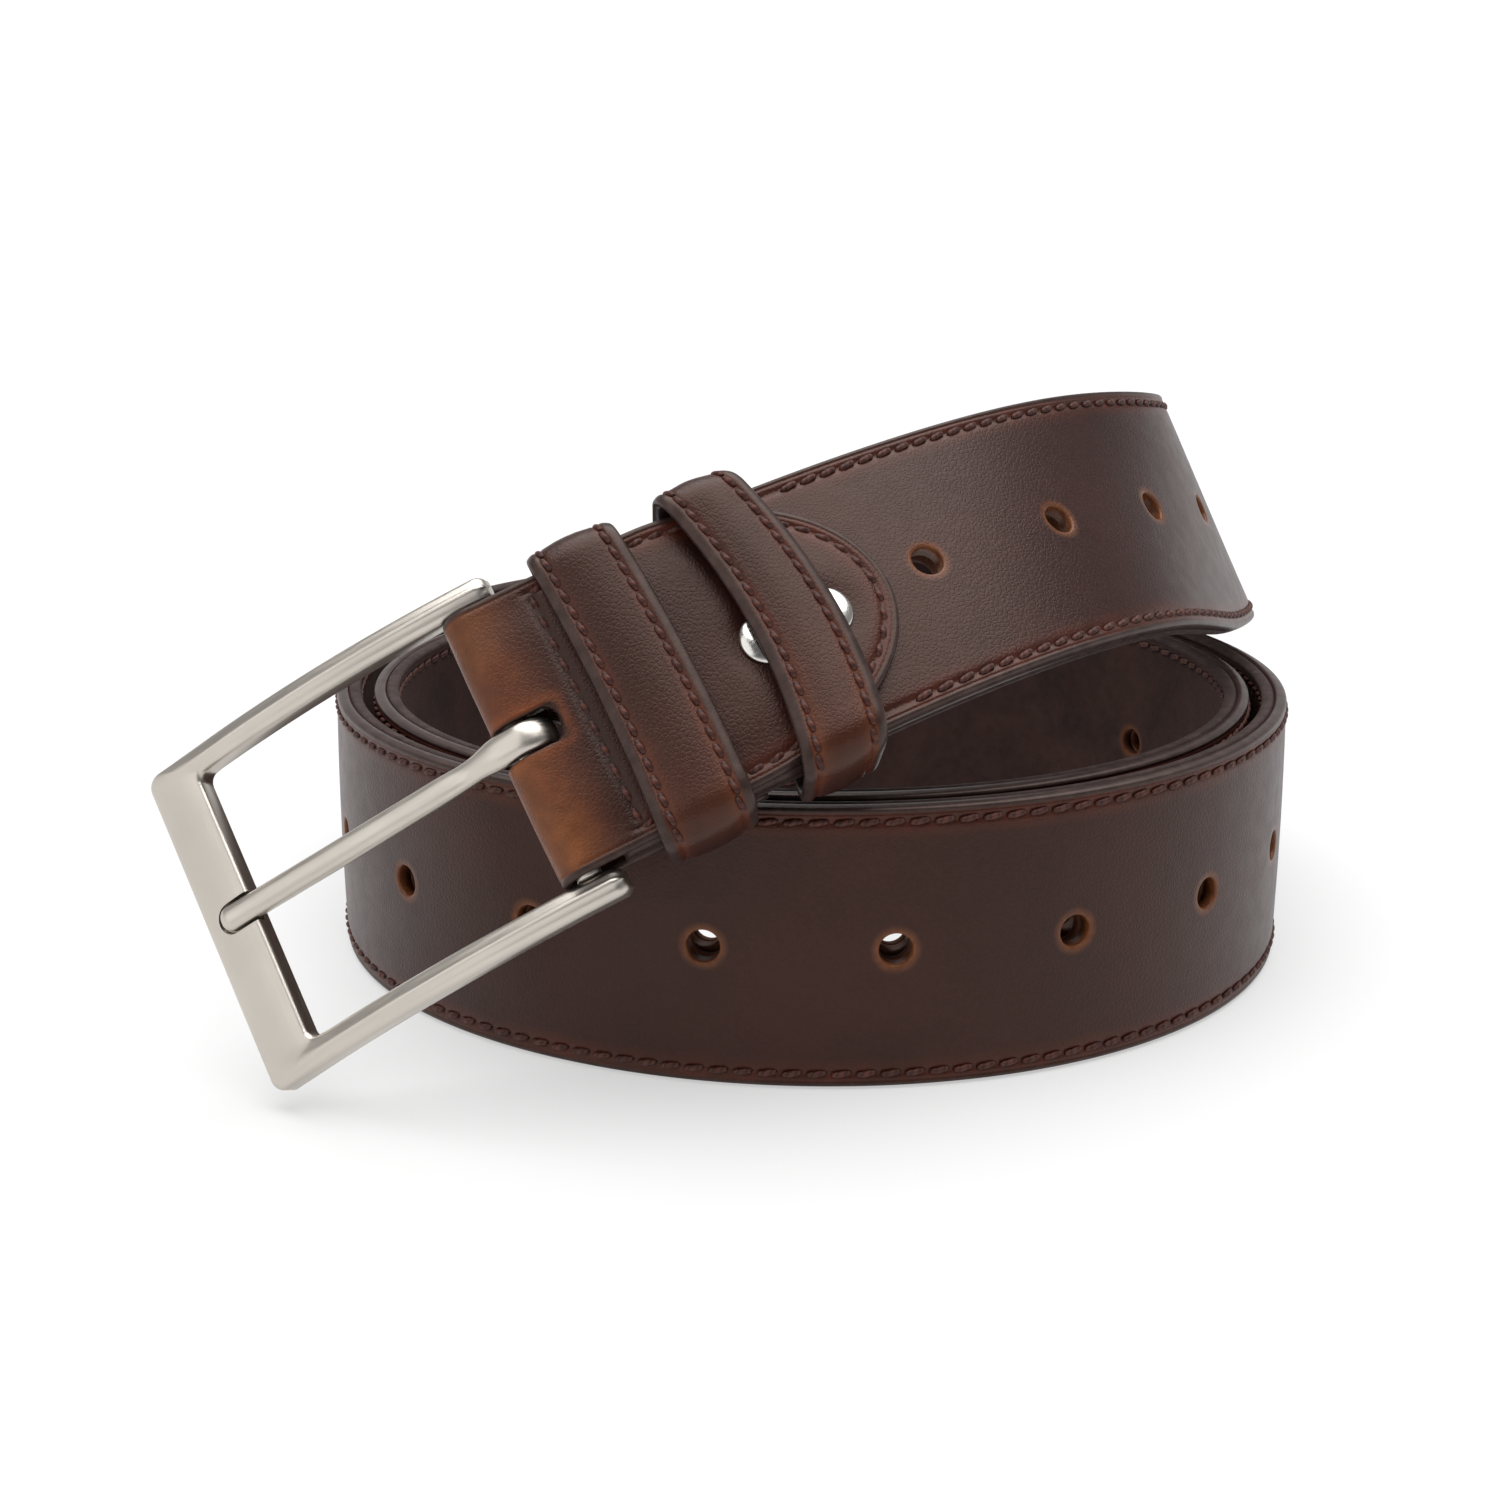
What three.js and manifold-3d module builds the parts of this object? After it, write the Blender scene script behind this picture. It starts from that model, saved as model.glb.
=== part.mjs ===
// A gentlemen's leather belt, coiled up and lying on its edge, with its buckle end led over the front.
// Millimetres, +Z up. The coil stands on its lower edge on z = 0, and the buckle is at the front left.
import * as THREE from 'three';
import { mergeVertices } from 'three/addons/utils/BufferGeometryUtils.js';
import Module from 'manifold-3d';

const wasm = await Module();
wasm.setup();

// ---- driving dimensions -------------------------------------------------------------------------
const strapWidth = 40;
const plyThickness = 1.75;
const gap = 0.3;                         // between pieces that touch
const holePitch = 25.4;
const holeRadius = 2.3;
const firstHole = 64;                  // from the fold, along the strap
const lastHoleFromTip = 60;
const tipLength = 20;                    // of the rounded free end
const strapStart = 9;                    // the strap ends this far short of the fold
const seamInset = 2.1;                   // stitching, in from the edge
const threadWidth = 0.7;
const threadHeight = 0.5;
const strapStep = 6;                     // spacing of the sections along the strap
const threadStep = 9;

const legThickness = 1.6;                // the tab that holds the buckle
const frontLegEnd = 56.2;
const frontLegShoulder = 28;             // where its rounded end begins
const backLegEnd = 29;
const slotHalfWidth = 2.6;
const slotEnd = 9.4;
const crossSeam = 12.7;                  // the row of stitches across the tab, from the fold

const keeperThickness = 1.8;
const keeperCorner = 1.4;                // radius of its inside corners
const keeperSeamInset = 1.9;
// From the fold to the keepers' middles at their ends, and how far their middles bow from there.
const fixedKeeper = { back: 20.3, width: 12.4, bow: 0.8 };
const slidingKeeper = { back: 38.4, width: 11.2, bow: 2.6 };
const screwBacks = { near: 37.3, far: 45.8 };   // from the fold, of the binding screws
const screwAcross = -2.4;
const screwHeadRadius = 3.7;
const screwStemRadius = 1.1;
const postRadius = 1.9;
const screwHoleRadius = 2.3;

const barRadius = 1.8;
const barEndRadius = 1;
const frameWidth = 48.4;
const frameReach = 52.4;                   // from the bar's axis to the frame's outer edge
const armWidth = 3.9;
const outerBarWidth = 8.4;
const frameHeight = 3.8;
const frameBulge = 2.6;
const frameDroop = THREE.MathUtils.degToRad(15.5);
const tongueWidth = 3.6;
const tongueBottom = 1.5;
const tongueTop = 4.1;
const tongueReach = 49;

// The coil's own centre, seen from the middle of the whole object's footprint.
const coilCentre = new THREE.Vector3(6.77, -4.49, 0);

// ---- the strap's route --------------------------------------------------------------------------
const strapThickness = 2 * plyThickness + gap;
const faceOffset = strapThickness / 2;
const coilStart = THREE.MathUtils.degToRad(-6);
const coilEnd = THREE.MathUtils.degToRad(618);

// Radius of the strap's middle at an angle clockwise from the rear, growing by 5.7 mm a turn.
function coilRadius(angle) {
  const out = 62.95 + 5.7 * angle / (2 * Math.PI);
  const oval = 2.8 * Math.sin(angle) + Math.cos(angle) - 1.3 * Math.cos(2 * angle);
  return out + oval + 0.3 * Math.sin(2 * angle) + 0.3 * Math.sin(3 * angle);
}

// Where the strap goes after the coil: round the outside, up and over, and down to the buckle.
// x, y, z, and how far its upper edge leans to the left and to the rear, in degrees.
const stations = [
  [-70.5, 31, 20, 0, 0],
  [-55.5, 64.3, 20.4, 2, 3],
  [-23, 84.6, 21.5, 8, 8],
  [15, 87, 29, 18, 8],
  [48, 73.5, 43, 29, 3],
  [65.5, 44, 57, 31, 8],
  [60.5, 4.5, 65.3, 22, 16],
  [46.5, -20, 69.7, 30, 28],
  [17.5, -48.5, 68.2, 37, 38],
  [-13.2, -64.3, 58.9, 36.5, 37],
  [-41, -70, 46.5, 33, 34.5],
];

// Cubic spline through rows of numbers at the places in at, with a set slope at its start.
function spline(at, rows, startSlope) {
  const last = at.length - 1;
  const h = at.slice(1).map((value, i) => value - at[i]);
  const slope = rows.slice(1).map((row, i) => row.map((value, k) => (value - rows[i][k]) / h[i]));
  const bend = rows.map((row) => row.map(() => 0));
  for (let k = 0; k < rows[0].length; k++) {
    const diagonal = [2 * h[0]];
    const right = [6 * (slope[0][k] - startSlope[k])];
    for (let i = 1; i < last; i++) {
      const factor = h[i - 1] / diagonal[i - 1];
      diagonal.push(2 * (h[i - 1] + h[i]) - factor * h[i - 1]);
      right.push(6 * (slope[i][k] - slope[i - 1][k]) - factor * right[i - 1]);
    }
    for (let i = last - 1; i >= 0; i--) bend[i][k] = (right[i] - h[i] * bend[i + 1][k]) / diagonal[i];
  }
  return (x) => {
    let i = 0;
    while (i < last - 1 && x > at[i + 1]) i++;
    const a = (at[i + 1] - x) / h[i];
    const b = 1 - a;
    const cubic = (k) => ((a ** 3 - a) * bend[i][k] + (b ** 3 - b) * bend[i + 1][k]) * h[i] ** 2 / 6;
    return rows[i].map((value, k) => a * value + b * rows[i + 1][k] + cubic(k));
  };
}

function distances(rows) {
  const at = [0];
  for (let i = 1; i < rows.length; i++) {
    at.push(at[i - 1] + Math.hypot(...[0, 1, 2].map((k) => rows[i][k] - rows[i - 1][k])));
  }
  return at;
}

// The whole route as close points, each x, y, z and the two leans.
function routePoints() {
  const points = [];
  const turns = 208;
  for (let i = 0; i <= turns; i++) {
    const angle = coilStart + (coilEnd - coilStart) * i / turns;
    const r = coilRadius(angle);
    points.push([r * Math.sin(angle), r * Math.cos(angle), strapWidth / 2, 0, 0]);
  }
  const rows = [points[turns], ...stations];
  const lastStep = distances(points.slice(-2))[1];
  const startSlope = points[turns].map((value, k) => (value - points[turns - 1][k]) / lastStep);
  const at = distances(rows);
  const curve = spline(at, rows, startSlope);
  const steps = 150;
  for (let i = 1; i <= steps; i++) points.push(curve(at[at.length - 1] * i / steps));
  return points;
}

const route = routePoints();
const routeAt = distances(route);
const strapLength = routeAt[routeAt.length - 1];

function pointAt(distance) {
  let low = 0;
  let high = routeAt.length - 1;
  while (high - low > 1) {
    const middle = (low + high) >> 1;
    if (routeAt[middle] <= distance) low = middle;
    else high = middle;
  }
  const f = (distance - routeAt[low]) / (routeAt[high] - routeAt[low]);
  return route[low].map((value, k) => value + (route[high][k] - value) * f);
}

// The strap's middle at a distance back from the fold: along points to the fold, up to the upper
// edge, and out of the strap's face.
function frameAt(back) {
  const reach = 2;
  const distance = Math.min(strapLength, Math.max(0, strapLength - back));
  const here = pointAt(distance);
  const before = new THREE.Vector3(...pointAt(Math.max(0, distance - reach)));
  const after = new THREE.Vector3(...pointAt(Math.min(strapLength, distance + reach)));
  const along = after.sub(before).normalize();
  const [left, rear] = here.slice(3).map((lean) => Math.tan(THREE.MathUtils.degToRad(lean)));
  const up = new THREE.Vector3(-left, rear, 1);
  up.addScaledVector(along, -up.dot(along)).normalize();
  const out = new THREE.Vector3().crossVectors(up, along);
  return { point: new THREE.Vector3(...here.slice(0, 3)), along, up, out };
}

// A point given by its distance back from the fold, across the strap, and out from its middle.
function place(back, across, out) {
  const frame = frameAt(back);
  return frame.point.addScaledVector(frame.up, across).addScaledVector(frame.out, out);
}

// ---- solids -------------------------------------------------------------------------------------
function solidOf(positions, triangles) {
  let volume = 0;
  for (const [a, b, c] of triangles) {
    volume += positions[a].dot(new THREE.Vector3().crossVectors(positions[b], positions[c]));
  }
  const facing = volume < 0 ? triangles.map(([a, b, c]) => [a, c, b]) : triangles;
  const geometry = new THREE.BufferGeometry();
  geometry.setFromPoints(positions);
  geometry.setIndex(facing.flat());
  return geometry;
}

function stitchRings(triangles, first, second, count) {
  for (let j = 0; j < count; j++) {
    const k = (j + 1) % count;
    triangles.push([first + j, first + k, second + k], [first + j, second + k, second + j]);
  }
}

// Closed solid through convex rings of points, capped at its two ends.
function loft(rings) {
  const count = rings[0].length;
  const triangles = [];
  for (let i = 1; i < rings.length; i++) stitchRings(triangles, (i - 1) * count, i * count, count);
  const end = (rings.length - 1) * count;
  for (let j = 1; j < count - 1; j++) {
    triangles.push([0, j + 1, j]);
    triangles.push([end, end + j, end + j + 1]);
  }
  return solidOf(rings.flat(), triangles);
}

// Closed tube wall between outer and inner rings.
function sleeve(outer, inner) {
  const count = outer[0].length;
  const start = outer.length * count;
  const end = (outer.length - 1) * count;
  const triangles = [];
  for (let i = 1; i < outer.length; i++) {
    stitchRings(triangles, (i - 1) * count, i * count, count);
    stitchRings(triangles, start + i * count, start + (i - 1) * count, count);
  }
  stitchRings(triangles, start, 0, count);
  stitchRings(triangles, end, start + end, count);
  return solidOf([...outer.flat(), ...inner.flat()], triangles);
}

// One mesh with shared corners and no collapsed triangles.
function weld(geometry) {
  const bare = geometry.clone();
  bare.deleteAttribute('normal');
  bare.deleteAttribute('uv');
  const merged = mergeVertices(bare, 1e-4);
  const index = merged.index.array;
  const kept = [];
  for (let i = 0; i < index.length; i += 3) {
    const [a, b, c] = index.slice(i, i + 3);
    if (a !== b && b !== c && a !== c) kept.push(a, b, c);
  }
  merged.setIndex(kept);
  return merged;
}

function toSolid(geometry) {
  const merged = weld(geometry);
  const vertProperties = new Float32Array(merged.attributes.position.array);
  const triVerts = new Uint32Array(merged.index.array);
  return new wasm.Manifold(new wasm.Mesh({ numProp: 3, vertProperties, triVerts }));
}

function fromSolid(solid) {
  const mesh = solid.getMesh();
  const geometry = new THREE.BufferGeometry();
  geometry.setAttribute('position', new THREE.BufferAttribute(new Float32Array(mesh.vertProperties), 3));
  geometry.setIndex(Array.from(mesh.triVerts));
  return geometry;
}

function cut(geometry, cutters) {
  let solid = toSolid(geometry);
  for (const cutter of cutters) solid = solid.subtract(toSolid(cutter));
  return fromSolid(solid);
}

function moved(geometry, x, y, z, origin) {
  const matrix = new THREE.Matrix4().makeBasis(x, y, z).setPosition(origin);
  return geometry.clone().applyMatrix4(matrix);
}

// A shape turned about the strap's outward direction, from its profile of radius and height.
function turned(profile, back, across, segments) {
  const frame = frameAt(back);
  const geometry = new THREE.LatheGeometry(profile.map(([r, h]) => new THREE.Vector2(r, h)), segments);
  return moved(geometry, frame.along, frame.out, frame.up, place(back, across, 0));
}

// A round pin through the strap, for cutting holes.
function holePin(back, across, radius, low, high, segments) {
  return turned([[0, low], [radius, low], [radius, high], [0, high]], back, across, segments);
}

const group = new THREE.Group();
group.position.copy(coilCentre);

const finishes = {
  leather: new THREE.MeshStandardMaterial({ color: 0x3b211b, roughness: 0.5, metalness: 0 }),
  lining: new THREE.MeshStandardMaterial({ color: 0x2b1b17, roughness: 0.85, metalness: 0 }),
  thread: new THREE.MeshStandardMaterial({ color: 0x5a3026, roughness: 0.7, metalness: 0 }),
  nickel: new THREE.MeshStandardMaterial({ color: 0xb9b3aa, roughness: 0.32, metalness: 1 }),
};

function add(name, geometry, finish) {
  const mesh = new THREE.Mesh(weld(geometry), finishes[finish]);
  mesh.geometry.computeVertexNormals();
  mesh.name = name;
  group.add(mesh);
}

// ---- the strap ----------------------------------------------------------------------------------
function strapHalfWidth(back) {
  const fromTip = strapLength - back;
  const half = strapWidth / 2;
  if (fromTip >= tipLength) return half;
  return Math.max(half * Math.sqrt(1 - (1 - fromTip / tipLength) ** 2), half * 0.12);
}

function strapSections(from, to) {
  const sections = [to, to - 1, to - 3, to - 6, to - 10, to - 15, to - tipLength];
  const count = Math.ceil((to - tipLength - from) / strapStep);
  for (let i = 1; i <= count; i++) sections.push(to - tipLength + (from - to + tipLength) * i / count);
  return sections;
}

function holePins() {
  const pins = [];
  for (let back = firstHole; back < strapLength - lastHoleFromTip; back += holePitch) {
    pins.push(holePin(back, 0, holeRadius, -faceOffset - 1, faceOffset + 1, 8));
  }
  return pins;
}

// side is 1 or -1, and swaps the diagonals of the faces, so that two plies meet on the same ones.
function strapPly(inner, outer, side, cutters) {
  const rings = strapSections(strapStart, strapLength).map((back) => {
    const half = strapHalfWidth(back) * side;
    const corners = [[half, inner], [half, outer], [-half, outer], [-half, inner]];
    return corners.map(([w, o]) => place(back, w, o));
  });
  return cut(loft(rings), cutters);
}

// A thread lying on a face, along a line given as points of distance back, across, and the line's
// own sideways direction in those two.
function thread(line, face) {
  const rings = line.map(([back, across, sideBack, sideAcross]) => [
    place(back - sideBack * threadWidth / 2, across - sideAcross * threadWidth / 2, face + gap),
    place(back + sideBack * threadWidth / 2, across + sideAcross * threadWidth / 2, face + gap),
    place(back, across, face + gap + threadHeight),
  ]);
  return loft(rings);
}

function edgeThread(across) {
  const from = frontLegEnd + 1.5;
  const to = strapLength - tipLength - 2;
  const count = Math.ceil((to - from) / threadStep);
  const line = [];
  for (let i = 0; i <= count; i++) line.push([from + (to - from) * i / count, across, 0, 1]);
  return thread(line, faceOffset);
}

const holes = holePins();
const screwPins = Object.values(screwBacks).map((back) => (
  holePin(back, screwAcross, screwHoleRadius, -faceOffset - 1, faceOffset + 1, 12)
));
add('strap_outer', strapPly(gap / 2, faceOffset, 1, [...holes, ...screwPins]), 'leather');
add('strap_lining', strapPly(-faceOffset, -gap / 2, -1, [...holes, ...screwPins]), 'lining');
add('edge_thread_upper', edgeThread(strapWidth / 2 - seamInset), 'thread');
add('edge_thread_lower', edgeThread(-strapWidth / 2 + seamInset), 'thread');

// ---- the tab that wraps the buckle's bar ----------------------------------------------------------
const legMiddle = faceOffset + gap + legThickness / 2;
const tabFace = faceOffset + gap + legThickness;
const barBack = tabFace;                 // the bar's axis, so that the bend's outside is the fold

function frontLegHalfWidth(back) {
  const half = strapWidth / 2;
  if (back <= frontLegShoulder) return half;
  const f = (back - frontLegShoulder) / (frontLegEnd - frontLegShoulder);
  return Math.max(half * Math.sqrt(1 - f ** 2), 1.5);
}

// The tab's middle as distance back, height, and its outward direction in those two.
function tabLine() {
  const fromEnd = [0, 0.3, 1.2, 3.2, 6.2, 10.2, 15.2, 20.2, 24.2, 28.2, 34.2, 40.2, 46.2, 49.7];
  const line = fromEnd.map((distance) => [frontLegEnd - distance, legMiddle, 0, 1]);
  const bends = 8;
  for (let i = 0; i <= bends; i++) {
    const angle = Math.PI / 2 + Math.PI * i / bends;
    const [c, s] = [Math.cos(angle), Math.sin(angle)];
    line.push([barBack + legMiddle * c, legMiddle * s, c, s]);
  }
  for (const back of [6.5, 10, 16, 22, backLegEnd]) line.push([back, -legMiddle, 0, -1]);
  return line;
}

function buckleTab() {
  const rings = tabLine().map(([back, height, outBack, outHeight]) => {
    const half = height > 0 ? frontLegHalfWidth(back) : strapWidth / 2;
    const side = (w, out) => place(back + outBack * out, w, height + outHeight * out);
    const t = legThickness / 2;
    return [side(half, -t), side(half, t), side(-half, t), side(-half, -t)];
  });
  const frame = frameAt(barBack);
  const slotLength = slotEnd + 4;
  const slotBox = new THREE.BoxGeometry(slotLength, 2 * slotHalfWidth, 4 * tabFace);
  const centre = place(barBack, 0, 0).addScaledVector(frame.along, -(slotEnd - barBack) + slotLength / 2);
  const slot = moved(slotBox, frame.along, frame.up.clone().negate(), frame.out, centre);
  const pins = Object.values(screwBacks).map((back) => (
    holePin(back, screwAcross, screwHoleRadius, faceOffset, tabFace + 1, 12)
  ));
  return cut(loft(rings), [slot, ...pins]);
}

function tabEdgeLine() {
  const halfWidth = strapWidth / 2 - seamInset;
  const halfLength = frontLegEnd - frontLegShoulder - seamInset;
  const straight = [14.2, 20];
  const line = straight.map((back) => [back, halfWidth, 0, 1]);
  const steps = 16;
  for (let i = 0; i <= steps; i++) {
    const angle = Math.PI / 2 - Math.PI * i / steps;
    const side = new THREE.Vector2(Math.cos(angle) / halfLength, Math.sin(angle) / halfWidth).normalize();
    line.push([frontLegShoulder + halfLength * Math.cos(angle), halfWidth * Math.sin(angle), side.x, side.y]);
  }
  return [...line, ...straight.reverse().map((back) => [back, -halfWidth, 0, -1])];
}

add('buckle_tab', buckleTab(), 'leather');
add('tab_edge_thread', thread(tabEdgeLine(), tabFace), 'thread');
const crossLine = [17, 0, -17].map((across) => [crossSeam, across, 1, 0]);
add('tab_cross_thread', thread(crossLine, tabFace), 'thread');

// ---- the keepers ----------------------------------------------------------------------------------
const longSide = [10, 0, -10];           // across, of the extra points on its two long sides

// Points of a rounded rectangle, across and out of the strap.
function roundedLoop(box, radius) {
  const loop = [];
  const corners = [
    [box.right, box.top, 0],
    [box.left, box.top, 1],
    [box.left, box.bottom, 2],
    [box.right, box.bottom, 3],
  ];
  for (const [x, y, quarter] of corners) {
    const [cx, cy] = [x - Math.sign(x) * radius, y - Math.sign(y) * radius];
    for (let i = 0; i <= 2; i++) {
      const angle = (quarter + i / 2) * Math.PI / 2;
      loop.push([cx + radius * Math.cos(angle), cy + radius * Math.sin(angle)]);
    }
    if (quarter === 0) loop.push(...longSide.map((across) => [across, y]));
    if (quarter === 2) loop.push(...longSide.map((across) => [-across, y]));
  }
  return loop;
}

// A leather loop round the strap and the tab. Its inside reaches from box.left to box.right across
// the strap and from box.bottom to box.top out of it.
function keeper(name, { back: middle, width, bow }, box) {
  const grown = {
    left: box.left - keeperThickness,
    right: box.right + keeperThickness,
    bottom: box.bottom - keeperThickness,
    top: box.top + keeperThickness,
  };
  const bowed = (across) => middle + bow * (1 - (across / box.left) ** 2);
  const rings = (loop) => [-0.5, 0, 0.5].map((f) => (
    loop.map(([across, out]) => place(bowed(across) + f * width, across, out))
  ));
  const reach = keeperCorner + keeperThickness;
  add(name, sleeve(rings(roundedLoop(grown, reach)), rings(roundedLoop(box, keeperCorner))), 'leather');
  const seams = { left: -1, right: 1 };
  for (const [side, sign] of Object.entries(seams)) {
    const inset = sign * (width / 2 - keeperSeamInset);
    const stops = [grown.right - reach, ...longSide, grown.left + reach];
    const line = stops.map((across) => [bowed(across) + inset, across, 1, 0]);
    add(`${name}_thread_${side}`, thread(line, grown.top), 'thread');
  }
}

keeper('keeper_fixed', fixedKeeper, { left: -21.2, right: 20.8, bottom: -tabFace - 0.4, top: 5 });
keeper('keeper_sliding', slidingKeeper, { left: -21.3, right: 20.7, bottom: -tabFace - 0.5, top: 5.9 });

// ---- the binding screws ----------------------------------------------------------------------------
// Each holds the tab's front leg on the strap: a hollow post from behind, and a domed screw in it.
const headBottom = tabFace + gap;
const stemEnd = -1;
const postEnd = 3.2;
const boreRadius = screwStemRadius + gap;
const boreEnd = stemEnd - 0.4;
const flangeBottom = -faceOffset - 1;
const flangeTop = -faceOffset - gap;
const screwHead = [
  [0, stemEnd],
  [screwStemRadius, stemEnd],
  [screwStemRadius, headBottom],
  [screwHeadRadius, headBottom],
  [screwHeadRadius, headBottom + 0.3],
  [screwHeadRadius - 0.8, headBottom + 0.8],
  [screwHeadRadius - 2, headBottom + 1.1],
  [0, headBottom + 1.2],
];
const screwPost = [
  [0, flangeBottom],
  [screwHeadRadius, flangeBottom],
  [screwHeadRadius, flangeTop],
  [postRadius, flangeTop],
  [postRadius, postEnd],
  [boreRadius, postEnd],
  [boreRadius, boreEnd],
  [0, boreEnd],
];
for (const [name, back] of Object.entries(screwBacks)) {
  add(`screw_${name}`, turned(screwHead, back, screwAcross, 20), 'nickel');
  add(`screw_post_${name}`, turned(screwPost, back, screwAcross, 20), 'nickel');
}

// ---- the buckle -----------------------------------------------------------------------------------
// Its own axes start on the bar's axis: reach runs to the outer bar, and face is up out of the frame.
const foldFrame = frameAt(barBack);
const barCentre = place(barBack, 0, 0);
const reach = foldFrame.along.clone().multiplyScalar(Math.cos(frameDroop));
reach.addScaledVector(foldFrame.out, -Math.sin(frameDroop));
const across = foldFrame.up.clone();
const face = new THREE.Vector3().crossVectors(across, reach);

function inBuckle(geometry) {
  return moved(geometry, reach, across.clone().negate(), face, barCentre);
}

function framePoint(x, y, z) {
  return new THREE.Vector3(x, y, z + frameBulge * x * (frameReach - x) / (frameReach / 2) ** 2);
}

// Pairs of points on the frame's outer and inner outlines, from one arm's end round to the other's.
function frameOutline() {
  const side = frameWidth / 2;
  const innerSide = side - armWidth;
  const innerReach = frameReach - outerBarWidth;
  const cornerRadius = 2.2;
  const half = [-4, 0, 6, 13, 20, 27, 34, 41].map((x) => [[x, side], [x, innerSide]]);
  for (const angle of [0, 22.5, 45, 67.5, 90].map(THREE.MathUtils.degToRad)) {
    const x = frameReach - cornerRadius + cornerRadius * Math.sin(angle);
    const y = side - cornerRadius + cornerRadius * Math.cos(angle);
    half.push([[x, y], [innerReach, innerSide]]);
  }
  half.push([[frameReach, 10], [innerReach, 10]]);
  const mirrored = half.map((pair) => pair.map(([x, y]) => [x, -y])).reverse();
  return [...half, ...mirrored];
}

function buckleFrame() {
  const chamfer = 0.7;
  const h = frameHeight / 2;
  const rings = frameOutline().map(([outer, inner]) => {
    const outerPoint = new THREE.Vector2(...outer);
    const innerPoint = new THREE.Vector2(...inner);
    const inset = chamfer / outerPoint.distanceTo(innerPoint);
    const a = outerPoint.clone().lerp(innerPoint, inset);
    const b = innerPoint.clone().lerp(outerPoint, inset);
    const profile = [
      [outerPoint, -h],
      [outerPoint, h - chamfer],
      [a, h],
      [b, h],
      [innerPoint, h - chamfer],
      [innerPoint, -h],
    ];
    return profile.map(([p, z]) => framePoint(p.x, p.y, z));
  });
  const pinLength = frameWidth - 1.6;
  const barHole = new THREE.CylinderGeometry(barEndRadius + gap, barEndRadius + gap, pinLength, 12);
  const notchDepth = 4;
  const notchStart = frameReach - outerBarWidth - 3;
  const notchEnd = tongueReach + 1;
  const notch = new THREE.BoxGeometry(notchEnd - notchStart, tongueWidth + 2 * gap, notchDepth);
  notch.translate((notchStart + notchEnd) / 2, 0, tongueBottom - gap + notchDepth / 2);
  return inBuckle(cut(loft(rings), [barHole, notch]));
}

function buckleBar() {
  const middle = frameWidth / 2 - armWidth - gap;
  const end = frameWidth / 2 - 1.1;
  const half = [[barRadius, middle], [barEndRadius, middle], [barEndRadius, end], [0, end]];
  const other = half.map(([r, h]) => [r, -h]).reverse();
  const profile = [...other, ...half].map(([r, h]) => new THREE.Vector2(r, h));
  return inBuckle(new THREE.LatheGeometry(profile, 16));
}

// The tongue seen from its side: an eye round the bar, and a shank that reaches over the outer bar.
function tongue() {
  const eyeRadius = 4.3;
  const eyeStart = Math.asin(tongueBottom / eyeRadius);
  const outline = new THREE.Shape();
  outline.moveTo(tongueReach - 1, tongueBottom);
  outline.lineTo(eyeRadius * Math.cos(eyeStart), tongueBottom);
  outline.absarc(0, 0, eyeRadius, eyeStart, -1.5 * Math.PI, true);
  outline.lineTo(tongueReach - 4, tongueTop);
  outline.lineTo(tongueReach - 1.2, tongueTop - 0.5);
  outline.lineTo(tongueReach, tongueTop - 1.5);
  outline.lineTo(tongueReach, tongueBottom + 0.6);
  outline.closePath();
  const eye = new THREE.Path();
  eye.absarc(0, 0, barRadius + gap, 0, 2 * Math.PI, false);
  outline.holes.push(eye);
  const options = { depth: tongueWidth, bevelEnabled: false, curveSegments: 12 };
  const geometry = new THREE.ExtrudeGeometry(outline, options);
  geometry.translate(0, 0, -tongueWidth / 2);
  return moved(geometry, reach, face, across, barCentre);
}

add('buckle_frame', buckleFrame(), 'nickel');
add('buckle_bar', buckleBar(), 'nickel');
add('tongue', tongue(), 'nickel');

export default group;
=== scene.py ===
# The looks of a coiled leather belt with a pin buckle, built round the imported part.
# Lengths below are in millimetres, and each mesh is turned into metres when it is made.
import math

import bmesh
import bpy
import numpy as np
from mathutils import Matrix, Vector


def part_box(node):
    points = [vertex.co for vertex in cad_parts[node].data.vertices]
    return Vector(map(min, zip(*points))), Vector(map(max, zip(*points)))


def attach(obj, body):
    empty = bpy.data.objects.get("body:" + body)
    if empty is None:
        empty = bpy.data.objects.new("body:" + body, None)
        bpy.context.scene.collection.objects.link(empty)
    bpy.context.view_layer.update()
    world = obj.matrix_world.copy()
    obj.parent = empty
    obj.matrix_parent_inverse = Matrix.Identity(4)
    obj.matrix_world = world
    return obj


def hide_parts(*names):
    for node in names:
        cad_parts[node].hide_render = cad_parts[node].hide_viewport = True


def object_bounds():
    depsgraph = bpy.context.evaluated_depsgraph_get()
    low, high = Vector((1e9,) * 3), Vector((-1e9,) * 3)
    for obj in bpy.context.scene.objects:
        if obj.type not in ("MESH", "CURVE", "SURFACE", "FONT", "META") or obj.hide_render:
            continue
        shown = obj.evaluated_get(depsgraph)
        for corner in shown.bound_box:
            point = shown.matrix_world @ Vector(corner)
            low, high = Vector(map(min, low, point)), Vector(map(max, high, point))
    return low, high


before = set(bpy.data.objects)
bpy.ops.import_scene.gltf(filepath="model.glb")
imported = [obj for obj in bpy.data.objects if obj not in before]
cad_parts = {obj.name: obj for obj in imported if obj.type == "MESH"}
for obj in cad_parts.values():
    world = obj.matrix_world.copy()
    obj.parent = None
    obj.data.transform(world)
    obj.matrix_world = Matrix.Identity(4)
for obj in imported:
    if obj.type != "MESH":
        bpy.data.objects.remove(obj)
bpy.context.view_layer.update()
MM = 0.001

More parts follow.
